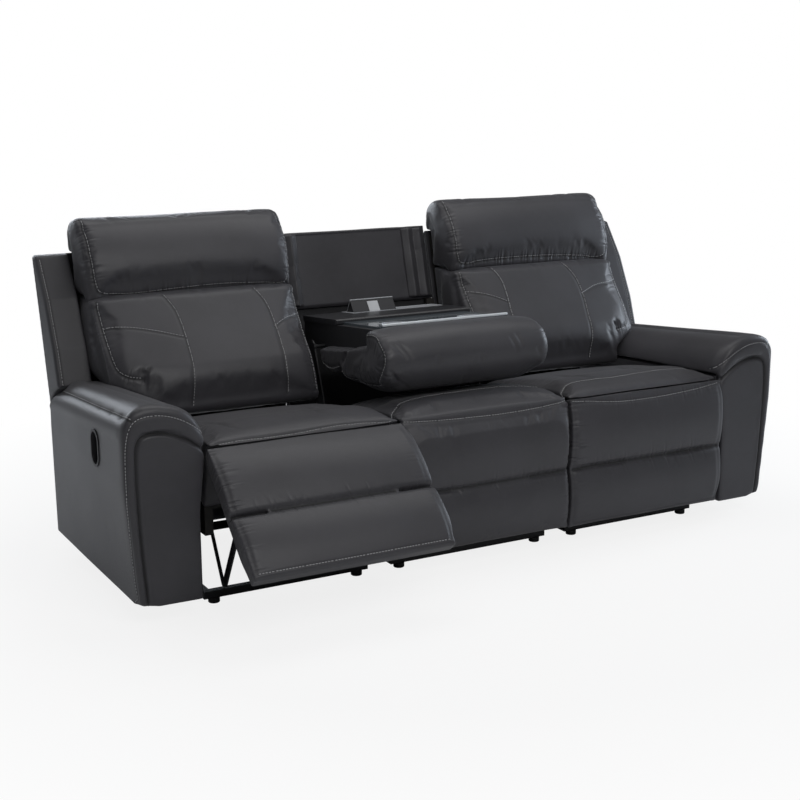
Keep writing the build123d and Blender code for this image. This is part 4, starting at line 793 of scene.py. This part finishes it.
for name, side in SIDES.items():
    arm = Cover(
        f"{name}_arm_pad", f"{name}_arm_side_panel", f"{name}_arm_facing", f"{name}_arm_front_panel",
        voxel=6.0, relax=4,
    )
    arm.soften(nearest_to([(side * a, -10, u) for a, u in ARM_EDGE]), 52.0, 90)
    arm.soften(nearest_to([(side * a, b, u) for a, b, u in ARM_SEAM]), 18.0, 14)
    arm.refine()
    arm.unevenness(1.8, 3.2, seed=side * 3.0)
    groove_and_painted_shade = from_front([(side * a, u) for a, u in BAND_GROOVE])
    band = from_front([(side * a, u) for a, u in BAND_STITCH])
    seam = nearest_to([(side * a, b, u) for a, b, u in ARM_SEAM])
    arm.sew(groove_and_painted_shade, depth=8.0, width=5.5, stitched=False, painted_shade=1.0)
    arm.sew(band, depth=1.6, width=5.0, offset=0.0, painted_shade=0.3)
    arm.sew(seam, depth=1.3, width=4.5, offset=side * 4.5, painted_shade=0.9)
    for fold, depth, width in ARM_FOLDS:
        arm.hollow(from_top([(side * a, b) for a, b in fold]), depth, width)
    arm.done("frame", fill=0.6)

# ----------------------------------------------------------------- seat cushions
LIP_BACK, LIP_UP = -5.0, 481.0
left_seat = Cover("left_seat_cushion", relax=5).swell(4.0, 8.0).refine()
left_seat.draw_to(LIP_BACK, LIP_UP, 34.0, 9.0)
left_seat.unevenness(4.0, 4.0, seed=1.0)
left_seat.hollow(from_top([(-812, 275), (-808, 190), (-803, 130), (-790, 88), (-772, 56)]), 6.0, 11.0, 0.35)
left_seat.hollow(from_top([(-476, 285), (-485, 220), (-505, 140), (-507, 74)]), 5.0, 11.0, 0.3)
left_seat.hollow(from_top([(-880, 84), (-780, 78), (-620, 86), (-480, 80), (-340, 70)]), 2.5, 24.0)
left_seat.sew(from_top([(-886, 3), (-796, 7), (-705, 5), (-611, 7), (-514, 10), (-417, 9), (-312, 4)]),
              depth=1.8, width=5.0, offset=0.0, painted_shade=0.5)
left_seat.done("left_seat")

right_seat = Cover("right_seat_cushion", relax=5).swell(4.0, 8.0).refine()
right_seat.draw_to(LIP_BACK, LIP_UP, 34.0, 9.0)
right_seat.unevenness(4.0, 4.0, seed=7.0)
right_seat.sew(from_top([(308, 34), (311, 54), (326, 66), (346, 76), (390, 82), (444, 79), (507, 75),
                         (586, 79), (659, 86), (738, 86), (811, 88), (858, 80), (880, 58), (886, 34)]),
               depth=2.8, width=7.0, gather=1.4, pitch=30.0, reach=28.0, seed=4.0)
right_seat.hollow(from_top([(700, 300), (684, 216), (671, 140), (660, 90)]), 5.0, 11.0, 0.3)
right_seat.hollow(from_top([(440, 270), (434, 200), (440, 140), (452, 90)]), 4.0, 12.0, 0.25)
right_seat.done("right_seat")

# ------------------------------------------------------------------ front pads
def pad_folds(cover, ends, top, bottom, swing, seed):
    """Gathers at a pad's ends, each as (across, strength)."""
    for across, strength in ends:
        cover.sew(on_rest([(across, top), (across, (top + bottom) / 2), (across, bottom)], swing),
                  depth=1.0, width=6.0, gather=strength, pitch=21.0, reach=30.0,
                  stitched=False, painted_shade=0.15, seed=seed + across / 100)


def full_ends(swing, low, high, inner, outer):
    """Swell a footrest's ends: by so much at its low end and at its high end."""
    turn = radians(swing)

    def rule(across, back, up):
        down = -(back - HINGE_BACK) * sin(turn) - (up - HINGE_UP) * cos(turn)
        middle = ramp(down, -5, 60) * (1 - ramp(down, 330, 405))
        outward = ramp(across, high - 60, high) * outer - ramp(-across, -low - 60, -low) * inner
        return outward * middle, 0 * up, 0 * up

    return rule


for name, swing, low, high, swells in (
    ("left", 47.0, -901, -299.5, (4, 11)), ("right", 0.0, 299.5, 901, (0, 9)),
):
    pads = Cover(f"{name}_footrest_upper_pad", f"{name}_footrest_lower_pad", voxel=6.0, relax=4).refine()
    pads.draw_to(LIP_BACK, LIP_UP, 34.0, 10.0)
    pads.shape(full_ends(swing, low, high, *swells))
    pads.unevenness(2.6, 4.5, seed=swing)
    pad_folds(pads, ((low + 9, 4.5), (high - 9, 0.6)), 22, 205, swing, 3.0)
    pad_folds(pads, ((low + 9, 1.8), (high - 9, 0.4)), 235, 395, swing, 5.0)
    pads.sew(in_crease(low, high, swing), depth=3.0, width=6.0, gather=1.8, pitch=34.0, reach=28.0,
             stitched=False, painted_shade=0.95, slant=0.5, seed=swing + 1)
    pads.sew(on_rest([(low + 12, 398), ((low + high) / 2, 399), (high - 12, 398)], swing),
             depth=1.2, width=4.0, offset=0.0, painted_shade=0.3, stitched=name == "left")
    if name == "right":
        pads.sew(from_front([(303, 477), (330, 474), (364, 471), (430, 463), (505, 457), (630, 456),
                             (716, 459), (813, 465), (893, 474)]),
                 depth=1.8, width=5.0, offset=0.0, gather=1.2, pitch=26.0, reach=18.0, painted_shade=0.45)
    pads.done(f"{name}_footrest")

centre = Cover("centre_seat_cushion", "centre_front_pads", voxel=6.0, relax=5).swell(4.0, 6.0).refine()
centre.unevenness(3.2, 4.0, seed=12.0)
for top, bottom in ((25, 205), (235, 395)):
    pad_folds(centre, ((-287, 0.5), (287, 2.0)), top, bottom, 0.0, 8.0)
centre.sew(from_top([(-293, 20), (-294, 44), (-291, 64), (-280, 78), (-262, 90), (-225, 112), (-173, 128),
                     (-90, 136), (0, 138), (90, 135), (173, 128), (225, 110), (262, 90), (280, 78), (291, 64),
                     (294, 44), (293, 20)]),
           depth=2.8, width=7.0, gather=1.4, pitch=30.0, reach=28.0, seed=9.0)
centre.sew(in_crease(-296.5, 296.5, 0.0), depth=3.0, width=6.0, gather=1.8, pitch=38.0, reach=30.0,
           stitched=False, painted_shade=0.95, slant=0.5, seed=2.5)
centre.sew(from_front([(-290, 480), (-260, 478), (-178, 473), (-54, 469), (40, 467), (153, 469), (240, 474),
                       (290, 479)]),
           depth=2.0, width=5.0, offset=0.0, gather=1.2, pitch=26.0, reach=18.0, painted_shade=0.5)
centre.done("frame")

# ---------------------------------------------------------------- console cushion
ROLL_END = [(-372, 56), (-412, 58), (-446, 46), (-484, -6), (-430, -78), (-348, -90), (-262, -84),
            (-206, -76), (-182, -58)]
LOBE_END = [(-158, -48), (-100, -58), (-48, -44), (-34, -26)]
roll = Cover("console_cushion", voxel=7.0, relax=6).swell(3.0, 6.0).refine()
roll.shape(lambda across, back, up: (
    0 * up, 0 * up,
    (22 * ramp(np.abs(across), 215, 285) - 6) * ramp(-up, -590, -530) * ramp(-back, -420, -330),
))
roll.unevenness(3.0, 5.0, seed=31.0)
for side in (-1, 1):
    roll.sew(on_console_end(ROLL_END, side), depth=2.4, width=6.0, gather=3.0, pitch=30.0, reach=38.0,
             slant=0.4, seed=side + 5.0)
    roll.sew(on_console_end(LOBE_END, side), depth=2.0, width=6.0, gather=1.5, pitch=26.0, reach=20.0,
             seed=side)
for fold in (
    [(-262, 694), (-240, 668), (-222, 640)], [(-240, 696), (-216, 662), (-204, 640)],
    [(-284, 618), (-262, 594), (-248, 566)], [(-270, 600), (-240, 575)],
    [(146, 684), (160, 658), (168, 628)], [(170, 690), (184, 660), (188, 640)], [(30, 640), (40, 610)],
    [(-120, 650), (-112, 620)], [(240, 640), (262, 610)],
):
    roll.hollow(from_front(fold), 3.0, 7.0, 0.05)
roll.done("console", fill=0.8)


# ------------------------------------------------- thin covers over boards
class ThinCover(Cover):
    """A thin cover kept at its own thickness, cut into an even net."""

    kept_share = 1.0

    def __init__(self, node, pitch, divide=0, material=LEATHER):
        net = net_of([node])
        bmesh.ops.dissolve_limit(net, angle_limit=radians(1), verts=net.verts, edges=net.edges)
        low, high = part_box(node)
        for axis in (0, 2):
            cut = Vector((0, 0, 0))
            cut[axis] = 1
            count = int((high[axis] - low[axis]) * 1000 / pitch[axis])
            for i in range(1, count):
                spot = Vector(low)
                spot[axis] = low[axis] + (high[axis] - low[axis]) * i / count
                bmesh.ops.bisect_plane(
                    net, geom=net.verts[:] + net.edges[:] + net.faces[:], plane_co=spot, plane_no=cut,
                dist=1e-6,
                )
        self.start([node], net, divide, material)


panel = ThinCover("centre_back_panel", (12, 0, 12)).refine()
panel.unevenness(2.0, 5.0, seed=41.0)
for side, wavy in ((1, 4.5), (-1, 2.0)):
    panel.sew(from_front([(side * 236, 930), (side * 236, 800), (side * 236, 660)]), depth=0.0, gather=wavy,
              pitch=60.0, reach=46.0, slant=0.6, stitched=False, painted_shade=0, seed=side)
panel.done("frame", fill=0.2)
gussets = ThinCover("centre_gussets", (8, 0, 8), material=WING_LEATHER).refine()
gussets.unevenness(5.0, 12.0, seed=43.0)
gussets.done("frame", fill=0.1)
covers = ThinCover("rear_covers", (30, 0, 30), material=LINING).refine()
covers.unevenness(0.8, 5.0, seed=47.0)
covers.done("frame", slot="back_cloth", fill=0.1)

# --------------------------------------------------------- finishes on the frame
FINISHES = {
    STEEL: (
        "base_cross_tubes", "base_side_rails", "mechanism_plates", "console_brackets",
        "left_rear_links", "left_front_links", "right_rear_links", "right_front_links",
    ),
    GLIDE: ("glide_feet",),
    BLACK_PLASTIC: ("handle_bezels", "release_cables", "console_box", "power_inlet", "power_module_body"),
    PADDLE_GREY: ("left_handle", "right_handle"),
    PLATE_PLASTIC: ("console_rear_plate",),
    TRAY_GLOSS: ("console_tray",),
    SILVER: ("module_bezel", "power_module_lid", "cup_liners"),
    WHITE_PLASTIC: ("usb_insert",),
    SPRING_STEEL: ("left_seat_springs", "right_seat_springs"),
    WING_LEATHER: ("left_arm_frame", "right_arm_frame"),
    BOARD: (
        "left_seat_frame", "right_seat_frame", "centre_seat_frame",
        "left_back_frame", "right_back_frame", "centre_back_frame",
    ),
    LINING: ("left_footrest_board", "right_footrest_board"),
}
for finish, names in FINISHES.items():
    for name in names:
        for slot in NODES[name].material_slots:
            slot.material = finish


# ------------------------------------------------------------------ rigid details
def console_box_piece(name, across, along, up, material, bevel=0.6):
    """A small block on the console, between (low, high) pairs in its own directions."""
    select_none()
    bpy.ops.mesh.primitive_cube_add(size=1, location=(0, 0, 0))
    piece = bpy.context.active_object
    piece.name = piece.data.name = name
    for vertex in piece.data.vertices:
        a = across[0] if vertex.co.x < 0 else across[1]
        v = along[0] if vertex.co.y < 0 else along[1]
        w = up[0] if vertex.co.z < 0 else up[1]
        vertex.co = at(a, *console_point(v, w))
    finish_with(piece, "BEVEL", width=bevel / 1000, segments=3)
    piece.data.polygons.foreach_set("use_smooth", [True] * len(piece.data.polygons))
    piece.data.materials.append(material)
    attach(piece, "console")
    return piece


# The tray's front rim, coloured near-white as a painted reflection.
bar = console_box_piece("tray_front_bar", (-226, 226), (-366, -355), (80.5, 89), PAINTED_REFLECTION_BAR, 2.6)

# ------------------------------------------------------------- floor and lights
select_none()
bpy.ops.mesh.primitive_plane_add(size=40, location=(0, 0, -0.0005))
floor = bpy.context.active_object
floor.name = "floor"
pale = Finish("pale_floor", roughness=0.9)
pale.feed("Base Color", (0.85, 0.85, 0.85))
seen = pale.node("ShaderNodeLightPath", output="Is Camera Ray")
glow = pale.node("ShaderNodeEmission", None, {"Strength": 1.0})
away = pale.node("ShaderNodeVectorMath", {"operation": "LENGTH"}, {0: pale.place}, "Value")
lit = Value(pale.tree, pale.shader.outputs[0])
plain = pale.node(
    "ShaderNodeMixShader", None,
    {0: seen * (0.84 + 0.16 * pale.steps(away, 1.3, 2.4)), 1: lit, 2: glow},
)
pale.tree.links.new(plain.socket, pale.tree.nodes["Material Output"].inputs["Surface"])
floor.data.materials.append(pale.material)

world = bpy.data.worlds.new("studio")
bpy.context.scene.world = world
world.use_nodes = True
sky = world.node_tree
paths = sky.nodes.new("ShaderNodeLightPath")
background = sky.nodes["Background"]
background.inputs["Color"].default_value = (1.0, 1.0, 1.0, 1.0)
strength = Value(sky, paths.outputs["Is Camera Ray"]) * 0.90 + 0.10
sky.links.new(strength.socket, background.inputs["Strength"])


def softbox(name, place, target, size, power, colour=(1, 1, 1)):
    data = bpy.data.lights.new(name, "AREA")
    data.shape = "RECTANGLE"
    data.size, data.size_y = size
    data.energy = power
    data.color = colour
    lamp = bpy.data.objects.new(name, data)
    bpy.context.collection.objects.link(lamp)
    lamp.location = place
    lamp.rotation_euler = (Vector(target) - Vector(place)).to_track_quat("-Z", "Y").to_euler()
    return lamp


softbox("key", (-0.5, -3.5, 3.2), (0, 0, 0.5), (2.6, 1.8), 60)
softbox("overhead", (0.2, 0.4, 3.2), (0, 0, 0.5), (3.4, 1.6), 34)
softbox("right_rim", (3.8, -0.1, 1.3), (0.3, 0.1, 0.6), (1.2, 1.8), 62, (0.80, 0.89, 1.0))
softbox("left_rim", (-3.2, 1.6, 1.9), (-0.9, 0.1, 0.5), (1.2, 1.6), 8, (0.88, 0.93, 1.0))
softbox("rear_sweep", (-0.7, 4.2, 1.9), (-0.4, 0.2, 0.6), (3.2, 1.3), 80, (0.86, 0.92, 1.0))

# ------------------------------------------------------------------------ camera
YAW, PITCH, ROLL = 0.50638, -0.22237, -0.00407
CAMERA_PLACE = (-2.21765, -3.76348, 1.44169)
CAMERA_LENS, SENSOR_WIDTH = 63.066, 36
forward = Vector((sin(YAW) * cos(PITCH), cos(YAW) * cos(PITCH), sin(PITCH)))
level = Vector((cos(YAW), -sin(YAW), 0))
rise = level.cross(forward)
right = level * cos(ROLL) + rise * sin(ROLL)
upright = rise * cos(ROLL) - level * sin(ROLL)
camera_data = bpy.data.cameras.new("camera")
camera_data.lens = CAMERA_LENS
camera_data.sensor_width = SENSOR_WIDTH
camera = bpy.data.objects.new("camera", camera_data)
bpy.context.collection.objects.link(camera)
turn = Matrix((right, upright, -forward)).transposed()
camera.matrix_world = Matrix.Translation(CAMERA_PLACE) @ turn.to_4x4()
bpy.context.scene.camera = camera
bpy.context.scene.view_settings.view_transform = "Standard"
